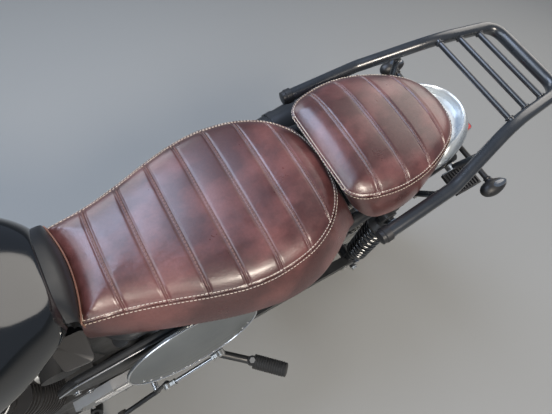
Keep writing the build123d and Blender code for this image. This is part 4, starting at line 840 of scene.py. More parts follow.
def number_board():
    """The blank oval board: domed, creased low down, with a rolled rim, rivets and its studs."""
    reach = np.r_[0.001, np.linspace(0.03, 0.9, 40), 0.93, 0.96, 0.98, 0.99, 0.997, 0.9999][:, None]
    angle = full_turn(160)
    face = board_point(reach * np.cos(angle), reach * np.sin(angle))
    grid = np.concatenate([face, face[-1:] - BOARD_OUT * 1.5, face[::-1] - BOARD_OUT * 3.0])
    piece = put("board", sheet(grid), BOARD_ALLOY, hides="number_board")
    turn = full_turn(120)
    rim = board_point(0.985 * np.cos(turn), 0.985 * np.sin(turn), 0.6)
    put("board_rim", swept(rim, 1.5, 8, BOARD_OUT, closed=True), POLISHED)
    turn = np.radians((200, 214, 228, 243, 258, 273, 288, 303, 318, 332, 346))
    spots = board_point(0.86 * np.cos(turn), 0.86 * np.sin(turn), -0.3)
    rivet = turned([(0, 2.7), (1.0, 2.5), (1.7, 1.6), (1.9, 0)], (0, 0, 0), UP, 12)
    put("board_rivets", copies(rivet, spots, np.stack([AHEAD, BOARD_UP, BOARD_OUT], -1)), POLISHED)
    studs = [swept(np.linspace((x, 130.3, 668), (x, 157, 668), 6), 6, 16) for x in (-262, -190)]
    put("board_studs", joined(studs), STEEL)


tank()
seat_collar()
rack()
number_board()


# Wheels

TREAD_DEPTH = 6.5
TREAD_PITCHES = 38
RIM_SHARE = 0.33
SPOKES = 18
DRILLINGS = 30

# The blocks in one pitch of the tread, as shares of the half width and of the pitch.
# Columns: inner edge, outer edge, start, end, how far the outer edge runs ahead
TREAD_BLOCKS = (
    (-0.30, 0.02, 0.04, 0.50, 0.10), (-0.02, 0.30, 0.54, 1.00, 0.10),
    (0.38, 0.68, 0.10, 0.62, 0.12), (-0.68, -0.38, 0.60, 1.12, -0.12),
    (0.75, 1.05, 0.30, 0.88, 0.06), (-1.05, -0.75, 0.80, 1.38, -0.06))


def wheel_place(centre, y, radius, angle):
    """A place on a wheel: distance sideways, radius, and the angle round the axle from the front, upwards."""
    y, radius, angle = np.broadcast_arrays(y, radius, angle)
    ahead, up = radius * np.cos(angle), radius * np.sin(angle)
    return np.stack([centre[0] + ahead, centre[1] + y, centre[2] + up], -1)


def both_ways(half, shared=0):
    """(Sideways, radius) rows and the same rows back on the other side, without those on the middle."""
    return half + [(-y, level) for y, level in half[::-1][shared:]]


def around(centre, profile, count):
    """A closed profile of (sideways, radius) pairs carried round a wheel's axle."""
    profile = np.asarray(profile + profile[:1], float)
    return sheet(wheel_place(centre, profile[:, :1], profile[:, 1:], full_turn(count)))


def tread_block(crown, middle, half_arc, pitch, row):
    """One block of tread: a raised patch on the crown's arc, its edges chamfered and its foot flared."""
    inner, outer, start, end, lead = row
    steps = np.array([-0.06, 0.0, 0.09, 0.5, 0.91, 1.0, 1.06])
    sink = np.array([TREAD_DEPTH + 0.5, 1.0, 0.0, 0.0, 0.0, 1.0, TREAD_DEPTH + 0.5])
    across, along = np.meshgrid(steps, steps, indexing="ij")
    level = crown - np.maximum(sink[:, None], sink)
    side = (inner + (outer - inner) * across) * half_arc
    turn = (start + (end - start) * along + lead * (across - 0.5)) * pitch
    places = wheel_place((0, 0, 0), level * np.sin(side / crown), middle + level * np.cos(side / crown), turn)
    return sheet(places, False, False)


def tyre(name, centre, rim, width, body, node):
    """A tyre: carcass with ribbed walls, and rows of blocks on an arched crown."""
    radius = centre[2]
    shoulder = radius - 0.2 * (radius - rim)
    half = 0.46 * width
    sag = radius - shoulder
    crown = (half ** 2 + sag ** 2) / (2 * sag)
    middle = radius - crown
    reach = math.asin(half / crown)
    bead = width * RIM_SHARE
    under = crown - TREAD_DEPTH
    turns = np.linspace(-reach, reach, 25)
    profile = [(under * math.sin(turn), middle + under * math.cos(turn)) for turn in turns]
    wall = []
    for share in np.linspace(0.06, 1, 22):
        bulge = math.sin(share * math.pi * 0.82 + 0.42) ** 0.8
        rib = 0.5 * (0.5 + 0.5 * math.cos(share * 88)) * (0.25 < share < 0.8)
        y = bead + (0.5 * width - bead) * bulge + rib
        wall.append((min(y, 0.5 * width), shoulder + (rim + 1.2 - shoulder) * share))
    carcass = around(centre, profile + both_ways(wall + [(bead - 4, rim + 0.6)]), 168)
    pitch = 2 * math.pi / TREAD_PITCHES
    blocks = joined([tread_block(crown, middle, reach * crown, pitch, row) for row in TREAD_BLOCKS])
    angles = np.arange(TREAD_PITCHES) * pitch
    tread = copies(blocks, [centre] * TREAD_PITCHES, about_axle(np.cos(angles), np.sin(angles)))
    piece = put(name, joined([carcass, tread]), TYRE_RUBBER, body, node, math.radians(35))


def spoked(name, centre, rim, width, hub, flange, flange_y, bore, body):
    """A spoked wheel: a flanged black rim, crossed spokes with nipples, and a waisted hub."""
    bead = width * RIM_SHARE
    well = rim - 18
    half = [
        (bead, rim), (bead, rim - 3), (bead - 0.5, rim - 7), (bead - 5, rim - 9), (bead - 9, rim - 11),
        (bead / 2, well - 2), (bead / 4, well - 4), (0, well - 4.6)]
    inside = [(0, well - 1), (bead / 3, well), (bead - 12, rim - 6), (bead - 5, rim - 3), (bead - 3, rim)]
    profile = both_ways(half, 1) + [(-y, level) for y, level in inside[::-1]] + inside[1:]
    piece = put(name + "_rim", around(centre, profile, 144), SATIN_BLACK, body, body, math.radians(45))
    outer, waist, hole = flange / 2, hub / 2, bore / 2
    side = both_ways([
        (flange_y, hole), (flange_y, 17), (flange_y - 1.5, 19), (flange_y - 1.5, outer - 14),
        (flange_y, outer - 12), (flange_y, outer - 1), (flange_y - 1, outer),
        (flange_y - 6, outer), (flange_y - 7, outer - 1), (flange_y - 7.5, waist + 6),
        (flange_y - 14, waist), (flange_y - 20, waist - 3), (0, waist - 4)], 1)
    put(name + "_hub", around(centre, side, 72), CAST, body, sharp=math.radians(35))
    spokes, nipples, heads, seals = [], [], [], []
    for across in (-1, 1):
        for count in range(SPOKES):
            out = 1 if count % 2 else -1
            hub_angle = math.radians(20 * count)
            rim_angle = hub_angle + math.radians(38 * out + 5 * across)
            start = wheel_place(centre, across * (flange_y - 3.5 + 1.9 * out), outer - 6, hub_angle)
            end = wheel_place(centre, across * bead / 4, well, rim_angle)
            way = unit(end - start)
            elbow = start + (0, across * 3 * out, 0)
            spokes.append(swept([elbow, start, start + way * 4, end - way * 14, end], 1.9, 8, (0.2, 1, 0.3)))
            nipple = [(0, 1.9), (0, 3.0), (13, 3.3), (15, 4.4), (18, 4.4)]
            nipples.append(turned(nipple, end - way * 17, way, 10))
            heads.append(turned([(0, 3.2), (1.8, 2.6), (2.2, 0)], elbow, (0, across * out, 0), 10))
        seal = [(0, hole + 1), (1.2, hole + 1.6), (1.2, 16)]
        seals.append(turned(seal, centre + (0, across * flange_y, 0), (0, across, 0), 40))
    put(name + "_spokes", joined(spokes), STEEL, body)
    put(name + "_nipples", joined(nipples), POLISHED, body)
    put(name + "_spoke_heads", joined(heads), STEEL, body)
    put(name + "_seals", joined(seals), GRIP_RUBBER, body)


def disc_details(name, centre, diameter, side, inner, body):
    """A brake disc's drillings, shown as dark plugs that paint the shade in the open holes, and its carrier
    bolts.
    """
    outer = inner + 5
    hole_shades, screws = [], []
    for row in range(3):
        for count in range(DRILLINGS):
            angle = 2 * math.pi * (count + row / 3) / DRILLINGS
            # Painted shade: a dark plug fills each drilled hole in place of an opening
            start = wheel_place(centre, side * (inner - 0.15), diameter / 2 - 9 - 9 * row, angle)
            hole_shades.append(turned([(0, 0), (0, 3.1), (5.3, 3.1), (5.3, 0)], start, (0, side, 0), 12))
    for count in range(6):
        start = wheel_place(centre, side * outer, 38, math.pi * count / 3 + 0.3)
        profile = [(0, 7), (1.2, 7), (1.2, 5.6), (5, 5.6), (5.6, 4.8), (5.6, 0)]
        screws.append(turned(profile, start, (0, side, 0), 6))
    put(name + "_drillings", joined(hole_shades), BLACK_PLASTIC, body)
    put(name + "_bolts", joined(screws), STEEL, body)


tyre("front_tread", FRONT_AXLE, 247.0, 108.0, "front_wheel", "front_tyre")
tyre("rear_tread", REAR_AXLE, 222.0, 126.0, "rear_wheel", "rear_tyre")
spoked("front", FRONT_AXLE, 247.0, 108.0, 50, 112, 40, 19, "front_wheel")
spoked("rear", REAR_AXLE, 222.0, 126.0, 62, 132, 52, 22, "rear_wheel")
disc_details("front_disc", FRONT_AXLE, 300, 1, 57, "front_wheel")
disc_details("rear_disc", REAR_AXLE, 240, -1, 75, "rear_wheel")


# Drive

CHAIN_PITCH = 15.875
CHAIN_LINKS = 112
CHAIN_Y = 76.0
REAR_PITCH_RADIUS = 109.0
FRONT_PITCH_RADIUS = 41.0
FRONT_SPROCKET = np.array([-95.0, 0, 395.0])


def chain_path():
    """Places evenly spaced round both sprockets, as x and z."""
    rear, front = REAR_AXLE[[0, 2]], FRONT_SPROCKET[[0, 2]]
    apart = front - rear
    base = math.atan2(apart[1], apart[0])
    lean = math.acos((REAR_PITCH_RADIUS - FRONT_PITCH_RADIUS) / np.linalg.norm(apart))
    back = np.linspace(base + lean, base + 2 * math.pi - lean, 400)
    fore = np.linspace(base - lean, base + lean, 200)
    loop = np.concatenate([
        rear + REAR_PITCH_RADIUS * np.stack([np.cos(back), np.sin(back)], 1),
        front + FRONT_PITCH_RADIUS * np.stack([np.cos(fore), np.sin(fore)], 1)])
    return resampled(np.concatenate([loop, loop[:1]]), CHAIN_LINKS)


def link_plates(*sides):
    """Figure-of-eight side plates between two pins, along X from the first pin."""
    turn = full_turn(28)
    x = CHAIN_PITCH / 2 + (CHAIN_PITCH / 2 + 6.2) * np.cos(turn)
    z = 6.6 * np.sin(turn) * (1 - 0.28 * np.exp(-((x - CHAIN_PITCH / 2) / 3.4) ** 2))
    z = z * np.minimum(1, 1.25 * np.maximum(np.abs(np.sin(turn)), 1e-9) ** -0.35)
    ring = np.stack([x, 0 * x, z], 1)
    middle = np.array([CHAIN_PITCH / 2, 0, 0])
    small = middle + (ring - middle) * 0.02
    low, high = (0, 0, 0), (0, 1.5, 0)
    plate = np.stack([small + low, ring + low, ring + high, small + high])
    return joined([sheet(plate + (0, y, 0)) for y in sides])


def chain():
    """The drive chain, link by link, and the teeth of both sprockets."""
    places = chain_path()
    way = unit(np.diff(places, axis=0))
    turns = about_axle(way[:, 0], way[:, 1])
    spots = np.stack([places[:-1, 0], np.full(CHAIN_LINKS, CHAIN_Y), places[:-1, 1]], 1)
    outer, inner = link_plates(-7.2, 5.7), link_plates(-5.4, 3.9)
    pin = turned([(0, 0), (0, 2.6), (15, 2.6), (15, 0)], (0, -7.5, 0), LEFT, 12)
    roller = turned([(0, 3), (0, 5.0), (7.6, 5.0), (7.6, 3)], (0, -3.8, 0), LEFT, 14)
    plates = joined([copies(outer, spots[::2], turns[::2]), copies(inner, spots[1::2], turns[1::2])])
    piece = put("chain_plates", plates, DISC_STEEL, hides="drive_chain")
    put("chain_pins", joined([copies(pin, spots), copies(roller, spots)]), STEEL)
    rows = (
        ("rear_teeth", REAR_AXLE, REAR_PITCH_RADIUS, 43, 92, "rear_wheel"),
        ("front_teeth", FRONT_SPROCKET, FRONT_PITCH_RADIUS, 16, 28, "root"))
    for name, centre, pitch_radius, teeth, inside, body in rows:
        angle = full_turn(teeth * 12)
        tooth = pitch_radius - 5 + 9.5 * np.clip(0.5 + 0.5 * np.cos(angle * teeth), 0, 1) ** 1.6
        sides = ((3.4, inside), (3.4, tooth - 4), (2.0, tooth),
                 (-2.0, tooth), (-3.4, tooth - 4), (-3.4, inside))
        grid = np.stack([wheel_place(centre, CHAIN_Y + y, radius, angle) for y, radius in sides])
        put(name, sheet(grid), STEEL, body)


# Shock absorbers

SHOCK_TOP = np.array([-690.0, 129, 705])
SHOCK_LOW = np.array([-728.0, 129, 384])
COIL_TURNS = 9


def shocks():
    """Each spring as a coil with ground ends, on a damper with its rod, collars and rubber eyes."""
    way = unit(SHOCK_TOP - SHOCK_LOW)
    length = float(np.linalg.norm(SHOCK_TOP - SHOCK_LOW))
    side = unit(np.cross(way, LEFT))
    share = np.linspace(0, 1, COIL_TURNS * 30)
    rise = 70 + (length - 122) * (share - 0.035 * np.sin(2 * math.pi * share))
    turn = 2 * math.pi * COIL_TURNS * share
    ring = np.cos(turn)[:, None] * side + np.sin(turn)[:, None] * np.cross(side, way)
    coil = swept(SHOCK_LOW + rise[:, None] * way + 24.3 * ring, 4.5, 12, way)
    put("springs", mirrored(coil), GLOSS_BLACK, hides="shock_absorbers")
    damper = turned([(10, 0), (12, 13), (20, 16), (58, 16), (60, 27), (63, 29), (67, 29), (69, 27),
                     (69, 17.5), (170, 17.5), (172, 15), (172, 7)], SHOCK_LOW, way, 40)
    rod = turned([(170, 6.5), (length - 50, 6.5)], SHOCK_LOW, way, 24)
    cap = turned([(length - 52, 7), (length - 50, 27), (length - 47, 29), (length - 38, 29),
                  (length - 34, 24), (length - 28, 16), (length - 14, 13), (length - 12, 0)],
                 SHOCK_LOW, way, 40)
    collar = turned([(60, 18), (60, 25.5), (52, 25.5), (50, 23), (50, 16.5)], SHOCK_LOW, way, 9)
    eye = [(-7, 12), (-7, 17), (-6, 18), (6, 18), (7, 17), (7, 12)]
    rubber = [(-7.4, 8.4), (-7.4, 11), (-6.5, 12), (6.5, 12), (7.4, 11), (7.4, 8.4)]
    nut = [(14, 4), (14, 12), (15.5, 12), (15.5, 10), (23, 10), (24, 9), (24, 0)]
    eyes, rubbers, nuts = (
        [turned(profile, place, LEFT, sides) for place in (SHOCK_TOP, SHOCK_LOW)]
        for profile, sides in ((eye, 36), (rubber, 30), (nut, 6)))
    put("damper_bodies", mirrored(damper, cap, *eyes), SATIN_BLACK)
    put("damper_rods", mirrored(rod), CHROME)
    put("preload_rings", mirrored(collar), POLISHED)
    put("shock_rubbers", mirrored(*rubbers), GRIP_RUBBER)
    put("shock_nuts", mirrored(*nuts), CHROME)


chain()
shocks()


# Covers and tail

def rounded(corners, radius, count=7):
    """A closed outline of (u, v) corners with each corner rounded."""
    looped = np.concatenate([corners[-1:], corners, corners[:1]])
    return bent(np.c_[looped, np.zeros(len(looped))], radius, count)[1:-1, :2]


def domed(ring, rows, origin, u_way, v_way, out_way):
    """A closed outline drawn in row by row. Each row is (share of the way to the middle, height out)."""
    middle = (ring.max(0) + ring.min(0)) / 2
    grid = []
    for share, out in rows:
        flat = ring + (middle - ring) * share
        grid.append(origin + flat[:, :1] * u_way + flat[:, 1:] * v_way + out * np.array(out_way, float))
    return sheet(np.stack(grid))


def facing(way):
    """The turn that takes Z to a direction."""
    way = unit(way)
    return np.stack([*square_to(way), way], -1)


def bolt_heads(spots, way, size, sides=6):
    """Bolt heads with washers at many places, all facing one way."""
    head = turned([(0, size * 0.78), (1, size * 0.78), (1, size * 0.5), (1 + size * 0.32, size * 0.5),
                   (1.3 + size * 0.36, size * 0.42), (1.3 + size * 0.36, 0)], (0, 0, 0), UP, sides)
    return copies(head, spots, facing(way))


def bolts(name, spots, way, size, body="root"):
    """Steel bolts as one piece."""
    put(name, bolt_heads(spots, way, size), STEEL, body)


# The side cover's corners: x, z
COVER_CORNERS = [(-250, 600), (-40, 610), (-20, 660), (-60, 712), (-250, 718), (-280, 660)]


def side_covers():
    """The black lens-shaped side covers with their rolled edge, and the bracket under the seat's front."""
    ring = rounded(COVER_CORNERS, 34)
    ring = spaced(np.concatenate([ring, ring[:1]]), 5.0)[:-1]
    rows = [(1.0, 0), (0.02, 0), (0.0, 2), (0.0, 6), (0.012, 9)]
    shares = np.linspace(0.04, 1, 18)
    rows += [(share, 9 + 10.5 * (1 - (1 - share) ** 3) - 3 * share ** 4) for share in shares]
    cover = domed(ring, rows, (0, 114.6, 0), AHEAD, UP, LEFT)
    piece = put("side_panels", mirrored(cover), SATIN_BLACK, hides="side_covers")
    edge = bent([(-262, 126, 703), (-246, 128, 712.5), (-64, 128, 707), (-30, 126, 672)], 26)
    put("side_panel_trim", mirrored(swept(spaced(edge, 5.0), 1.6, 8)), POLISHED)
    spots = np.array([(-236, 134.2, 625), (-64, 134.0, 636), (-60, 134.0, 690)])
    put("side_panel_screws", bolt_heads(spots, LEFT, 9, 16), POLISHED)
    put("right_panel_screws", bolt_heads(spots * (1, -1, 1), RIGHT, 9, 16), POLISHED)
    plate = rounded([(-58, 62), (-114, 66), (-114, 116), (-72, 112)], 9)
    rows = [(1, 0), (0.02, 0), (0, 1), (0, 2.6), (0.03, 3.4), (1, 4.2)]
    put("seat_bracket", mirrored(domed(plate, rows, (0, 0, 755.6), AHEAD, LEFT, UP)), DARK_GREY)


COWL_SIDE = 106.0
COWL_TURN_X = -796.0
COWL_DEPTH = 159.0
COWL_LIP = 787.7


def cowl():
    """The silver tail shell: straight sides, an elliptic back, and a brow that rises behind the pillion seat.

    Each row of the skin is the outline drawn in by an inset, at a height; the brow's rows fade
    out forwards, where the seat overhangs the shell.
    """
    straight = np.linspace(-602, COWL_TURN_X, 24)[:-1]
    turn = np.linspace(0, math.pi / 2, 44)
    x = np.r_[straight, COWL_TURN_X - COWL_DEPTH * np.sin(turn)]
    y = np.r_[np.full(len(straight), COWL_SIDE), COWL_SIDE * np.cos(turn) ** 0.95]
    outline = np.concatenate([np.stack([x, y], 1), np.stack([x, -y], 1)[-2::-1]])
    way = np.gradient(outline, axis=0)
    inward = unit(np.stack([-way[:, 1], way[:, 0]], 1))
    if np.sum(inward * (outline - outline.mean(0))) > 0:
        inward = -inward
    fade = np.clip((-outline[:, 0] - 806) / 46, 0, 1)
    fade = fade ** 2 * (3 - 2 * fade)
    rows = [(60, 764.6, 0), (3, 764.6, 0), (0.6, 766.5, 0), (0, 770, 0), (0.2, 781, 0), (1.0, 785, 0.4)]
    rows += [(inset, COWL_LIP, rise) for inset, rise in (
        (3.0, 2.0), (7.0, 6.5), (11, 11.0), (15, 14.5), (18.5, 16.8), (21, 17.4), (23.5, 15.5), (24.5, 9.0),
        (25, 0.0), (60, 0.0))]
    grid = []
    for inset, height, rise in rows:
        level = outline + inward * inset
        level[:, 1] = np.where(np.sign(level[:, 1]) * np.sign(outline[:, 1]) < 0, 0, level[:, 1])
        grid.append(np.c_[level, height + rise * fade])
    grid = np.stack(grid)
    grid[[0, -1], :, 1] = 0
    shell = sheet(grid, False, False)
    piece = put("tail_shell", shell, SILVER_PAINT, hides="tail_cowl", sharp=math.radians(50))
    line = np.c_[outline + inward * -0.4, np.full(len(outline), 768.5)]
    put("tail_bead", swept(spaced(line[18:-18], 5.0), 1.1, 6), DARK_GREY)


def ellipsoid(centre, half, rows=24, columns=36, point=0.0):
    """A rounded lens-like body, drawn out to a point at its rear by a share."""
    tilt = np.linspace(0, math.pi, rows)[:, None]
    angle = full_turn(columns)
    thin = np.sin(tilt) * (1 + point * np.cos(tilt))
    points = np.stack(np.broadcast_arrays(
        np.cos(tilt) * half[0], thin * np.cos(angle) * half[1], thin * np.sin(angle) * half[2]), -1)
    return sheet(points + centre)


def rear_lights():
    """The rear indicators on their stems, the ribbed tail block and the red lamp with its bezel."""
    centre = np.array([-949.0, 188, 715])
    shell = ellipsoid(centre, (37, 17.5, 17.5), point=0.22)
    lens = ellipsoid(centre + (-3, 0, 3.2), (32, 12.5, 15.6), point=0.2)
    stem = swept(np.linspace((-948, 48.4, 715), (-948, 174, 715), 8), 6, 16)
    inner = [(0, 9), (3, 9.6), (6, 8), (9, 9), (12, 7.4), (15, 8), (18, 6.4)]
    outer = [(0, 6.2), (3, 8.5), (6, 7.6), (9, 9.6), (12, 10.4), (14, 8)]
    boots = [turned(boot, (-948, y, 715), LEFT, 24) for boot, y in ((inner, 48.4), (outer, 162))]
    put("rear_indicator_shells", mirrored(shell, stem, *boots), BLACK_PLASTIC, hides="rear_indicators")
    put("rear_indicator_lenses", mirrored(lens), SMOKE_LENS)
    corners = ((0, 742), (51, 742), (51, 702), (-51, 702), (-51, 742), (0, 742))
    bezel = bent([(-985, y, z) for y, z in corners], 6)
    put("tail_lamp_bezel", swept(spaced(bezel, 3.0), 1.8, 8, AHEAD), CHROME)
    ribs = copies(slab((0.9, 46, 0.9), 0.4), [(-986.3, 0, z) for z in np.linspace(708, 736, 7)])
    put("tail_lamp_ribs", ribs, RED_LENS)


# Foot pegs and gear linkage

PEG_START = np.array([-345.0, 231, 415])
PEG_END = np.array([-400.0, 287, 440])
PEG_RINGS = 13


def pegs():
    """The folding pegs: a bent arm, a clevis with its bolt and feeler, and the ribbed rubber."""
    way = unit(PEG_END - PEG_START)
    length = float(np.linalg.norm(PEG_END - PEG_START))
    arm_path = bent([(-216, 114.6, 452), (-216, 140, 452), (-264, 160, 432), PEG_START + way * 2], 26)
    arm = swept(spaced(arm_path, 4.0), 8.8, 18)
    mount = turned([(0, 18), (6, 18), (7, 16), (12, 12), (13, 9)], (-216, 114.6, 452), LEFT, 36)
    ears = [turned([(-3, 0), (-3, 11), (3, 11), (3, 0)], PEG_START + (0, 0, rise) - way * 3, UP, 28)
            for rise in (-12, 12)]
    bolt = [(-18, 0), (-18, 6), (-15, 6), (-15, 4), (15, 4), (15, 7), (19, 7), (19, 0)]
    bolt = turned(bolt, PEG_START - way * 3, UP, 6)
    rows = [(0, 0), (0, 9), (2, 12.5)]
    for count in range(PEG_RINGS):
        low = 3 + count * (length - 8) / PEG_RINGS
        rows += [(low, 14.9), (low + 0.7, 16.6), (low + 3.6, 16.8), (low + 4.3, 14.9)]
    rows += [(length - 4, 15.5), (length - 1, 16.2), (length, 14.5), (length + 0.6, 0)]
    feeler = turned([(0, 3), (-9, 3), (-11, 0)], PEG_END - way * 6 - (0, 0, 15), UP, 14)
    piece = put("peg_rubbers", mirrored(turned(rows, PEG_START, way, 30)), GRIP_RUBBER, hides="foot_pegs")
    put("peg_arms", mirrored(arm, mount, *ears), SATIN_BLACK)
    put("peg_bolts", mirrored(bolt, feeler), STEEL)


def gear_linkage():
    """The gear shaft, its arm, the polished rod with ball joints and locknuts, and the toe lever."""
    shaft = turned([(60.4, 8), (170, 8), (171, 7), (176, 7), (176, 0)], (-118, 0, 300), LEFT, 24)
    arm_path = [(-118, 172, 300), (-122, 172, 316), (-148, 172, 392), (-154, 172, 406)]
    arm = swept(arm_path, [9, 7, 5.5, 6.5], 16, LEFT, 0.7)
    low, high = np.array([-154.0, 180, 406]), np.array([-286.0, 180, 465])
    way = unit(high - low)
    rod = swept(np.linspace(low + way * 10, high - way * 10, 8), 4.6, 18, LEFT)
    ends, balls = [], []
    for place, out in ((low, way), (high, -way)):
        ends.append(turned([(6, 4.6), (8, 7), (16, 7), (17, 4.6)], place, out, 6))
        ends.append(turned([(17, 7.4), (22, 7.4)], place, out, 6))
        balls.append(turned([(-7, 0), (-7, 7), (-5, 9), (5, 9), (7, 7), (7, 0)], place, LEFT, 24))
    crank = swept([high + (0, -4, 0), (-276, 172, 449), (-262, 161, 433)], 5.5, 14)
    toe_path = np.array([(-118, 172, 300), (-90, 173, 288), (-48, 175, 268), (-20, 176, 262)], float)
    toe = swept(spaced(toe_path, 6.0), 6, 16, LEFT)
    rows = [(166, 0), (166, 9)]
    for start in range(168, 198, 5):
        rows += [(start, 10), (start + 3, 10), (start + 3.8, 8.4), (start + 4.2, 8.4)]
    rows += [(199, 9.5), (200, 0)]
    piece = put("gear_rod", joined([rod, shaft]), POLISHED, hides="gear_lever")
    put("gear_arms", joined([arm, toe, crank]), SATIN_BLACK)
    put("gear_joints", joined([*ends, *balls]), STEEL)
    put("gear_pad", turned(rows, (-20, 0, 262), LEFT, 24), GRIP_RUBBER)


side_covers()
cowl()
rear_lights()
pegs()
gear_linkage()


# Fork, headlamp and controls

SLOPE = np.array([math.cos(RAKE), 0, math.sin(RAKE)])
FORK_WAY = np.array([-math.sin(RAKE), 0, math.cos(RAKE)])
STEM_BEHIND = 55.0
FOLDS = 8
LAMP_MIDDLE = np.array([655.4, 0, 849.7])
GRIP_END = np.array([280.8, 412, 1038.4])
GRIP_INWARD = unit((58.0, -177, 6))
GRIP_RINGS = 22


def on_fork(up, ahead, y):
    """A point given up the fork legs from the axle, ahead of them and to the left."""
    return FRONT_AXLE + up * FORK_WAY + ahead * SLOPE + (0, y, 0)


def on_grip(distance, ahead=0.0, up=0.0):
    """A point inward from the left grip's end, with steps ahead and up."""
    return GRIP_END + GRIP_INWARD * distance + (ahead, 0, up)


def spun(name, surface, profile, centre, axis, sides, body="root", pair=False):
    """One turned piece, or a pair of them left and right."""
    shape = turned(profile, centre, axis, sides)
    put(name, mirrored(shape) if pair else shape, surface, body)


def gaiters():
    """The rubber bellows with rounded folds, and their clips."""
    share = np.linspace(0, 1, FOLDS * 14 + 1)
    radius = 29.6 - 3.4 * np.cos(2 * math.pi * FOLDS * share)
    folds = [(0, 21)] + list(zip(share * 224, radius)) + [(224, 21)]
    bellows = turned(folds, on_fork(252, 0, 100), FORK_WAY, 40)
    put("gaiters", mirrored(bellows), GRIP_RUBBER, "fork", "fork_gaiters")
    clips = [turned([(0, 26.4), (0, 27.8), (5, 27.8), (5, 26.4)], on_fork(up, 0, 100), FORK_WAY, 40)
             for up in (252, 471)]
    put("gaiter_clips", mirrored(*clips), STEEL, "fork")


def fork_trim():
    """Caps and nuts of the fork: leg caps, stem nut, pinch bolts, axle nuts and the guard's bolts."""
    top = on_fork(678, 0, 100)
    caps = [turned([(-1, 20.4), (2, 20.4), (4, 18), (4, 15)], top, FORK_WAY, 40),
            turned([(4, 11), (12, 11), (13, 10), (13, 0)], top, FORK_WAY, 6)]
    put("fork_caps", mirrored(*caps), POLISHED, "fork")
    spun("stem_nut", CHROME, [(0, 21), (3, 21), (3, 17), (14, 17), (16, 14), (16, 0)],
         on_fork(676, -STEM_BEHIND, 0), FORK_WAY, 6, "fork")
    bolts("yoke_bolts", [on_fork(up, 29, y) for up in (493, 655) for y in (100, -100)], SLOPE, 9, "fork")
    seal = [(0, 28.2), (0, 30), (1, 31.5), (9, 31.5), (10, 30), (10, 28.2)]
    for word, side in HANDS:
        out = (0, side, 0)
        bolts(word + "_front_axle_nut", [(755, 127 * side, 337)], out, 19, "fork")
        bolts(word + "_leg_bolts", [on_fork(up, 0, 127.5 * side) for up in (60, 185, 215)], out, 7, "fork")
        spun(word + "_dust_seal", GRIP_RUBBER, seal, on_fork(238, 0, 100 * side), FORK_WAY, 40, "fork")
    bolts("caliper_bolts", [on_fork(up, -60, 102) for up in (98, 158)], LEFT, 8, "fork")


def headlamp_parts():
    """The lamp's domed glass as a shell over a bright reflector, its rim, bulb cap and ears' bolts."""
    dome = [(16 - 16 * (share ** 2.2), 80.7 * share) for share in np.linspace(0, 1, 22)]
    inner = [(height - 3.2, radius * 0.965) for height, radius in dome[::-1]]
    put("lamp_glass", turned(dome + inner, LAMP_MIDDLE, AHEAD, 96), CLEAR_GLASS, "fork", "headlamp_glass")
    bowl = [(-5.4 + 1.5 * share ** 2, 76 * share) for share in np.linspace(0, 1, 12)]
    for name, surface, profile, sides in (
            ("lamp_reflector", CHROME, bowl + [(-5.8, 76)], 96),
            ("lamp_bulb_cap", POLISHED, [(-5, 13), (0, 13), (3, 11), (5, 7), (6, 0)], 40),
            ("lamp_rim", CHROME, [(-13, 88.3), (-12, 90.5), (-2, 91), (2, 89), (3.5, 85), (2.5, 81.5),
                                  (0.5, 80.9)], 120)):
        spun(name, surface, profile, LAMP_MIDDLE, AHEAD, sides, "fork")
    flutes = copies(slab((0.6, 0.7, 52), 0.3), [LAMP_MIDDLE + (13.6, y, 0) for y in range(-36, 37, 9)])
    put("lamp_flutes", flutes, CLEAR_GLASS, "fork")
    for word, side in HANDS:
        bolts(word + "_lamp_bolt", [LAMP_MIDDLE + (-24, 88 * side, 0)], (0, side, 0), 8, "fork")


def clock_face():
    """The clock's dial under its glass: marks round three quarters of a turn and a red needle."""
    centre = on_fork(744, 50, 0)
    turn = facing(FORK_WAY)
    spun("clock_bezel", CHROME, [(-9, 50.3), (-8, 52), (1, 52), (3.5, 50), (3.5, 46.5), (0.5, 45.5)],
         centre, FORK_WAY, 90, "fork")
    spun("clock_dial", DIAL_FACE, [(0.4, 45.8), (0.6, 0)], centre, FORK_WAY, 72, "fork")
    angles = np.radians(np.linspace(-35, 215, 26))
    ways = np.stack([np.cos(angles), np.sin(angles), 0 * angles], 1) @ turn.T
    turns = np.stack([ways, np.cross(FORK_WAY, ways), np.broadcast_to(FORK_WAY, ways.shape)], -1)
    marks = copies(slab((4.2, 0.7, 0.25), 0.1), centre + ways * 38 + FORK_WAY, turns)
    put("clock_marks", marks, DIAL_MARKS, "fork")
    way = turn @ (math.cos(2.4), math.sin(2.4), 0)
    needle = centre + FORK_WAY * 2 + np.array([(-9,), (34,)]) * way
    put("clock_needle", swept(needle, [1.6, 0.5], 8), RED_LENS, "fork")
    spun("clock_hub", BLACK_PLASTIC, [(1, 5), (3.4, 5), (4, 4), (4, 0)], centre, FORK_WAY, 28, "fork")


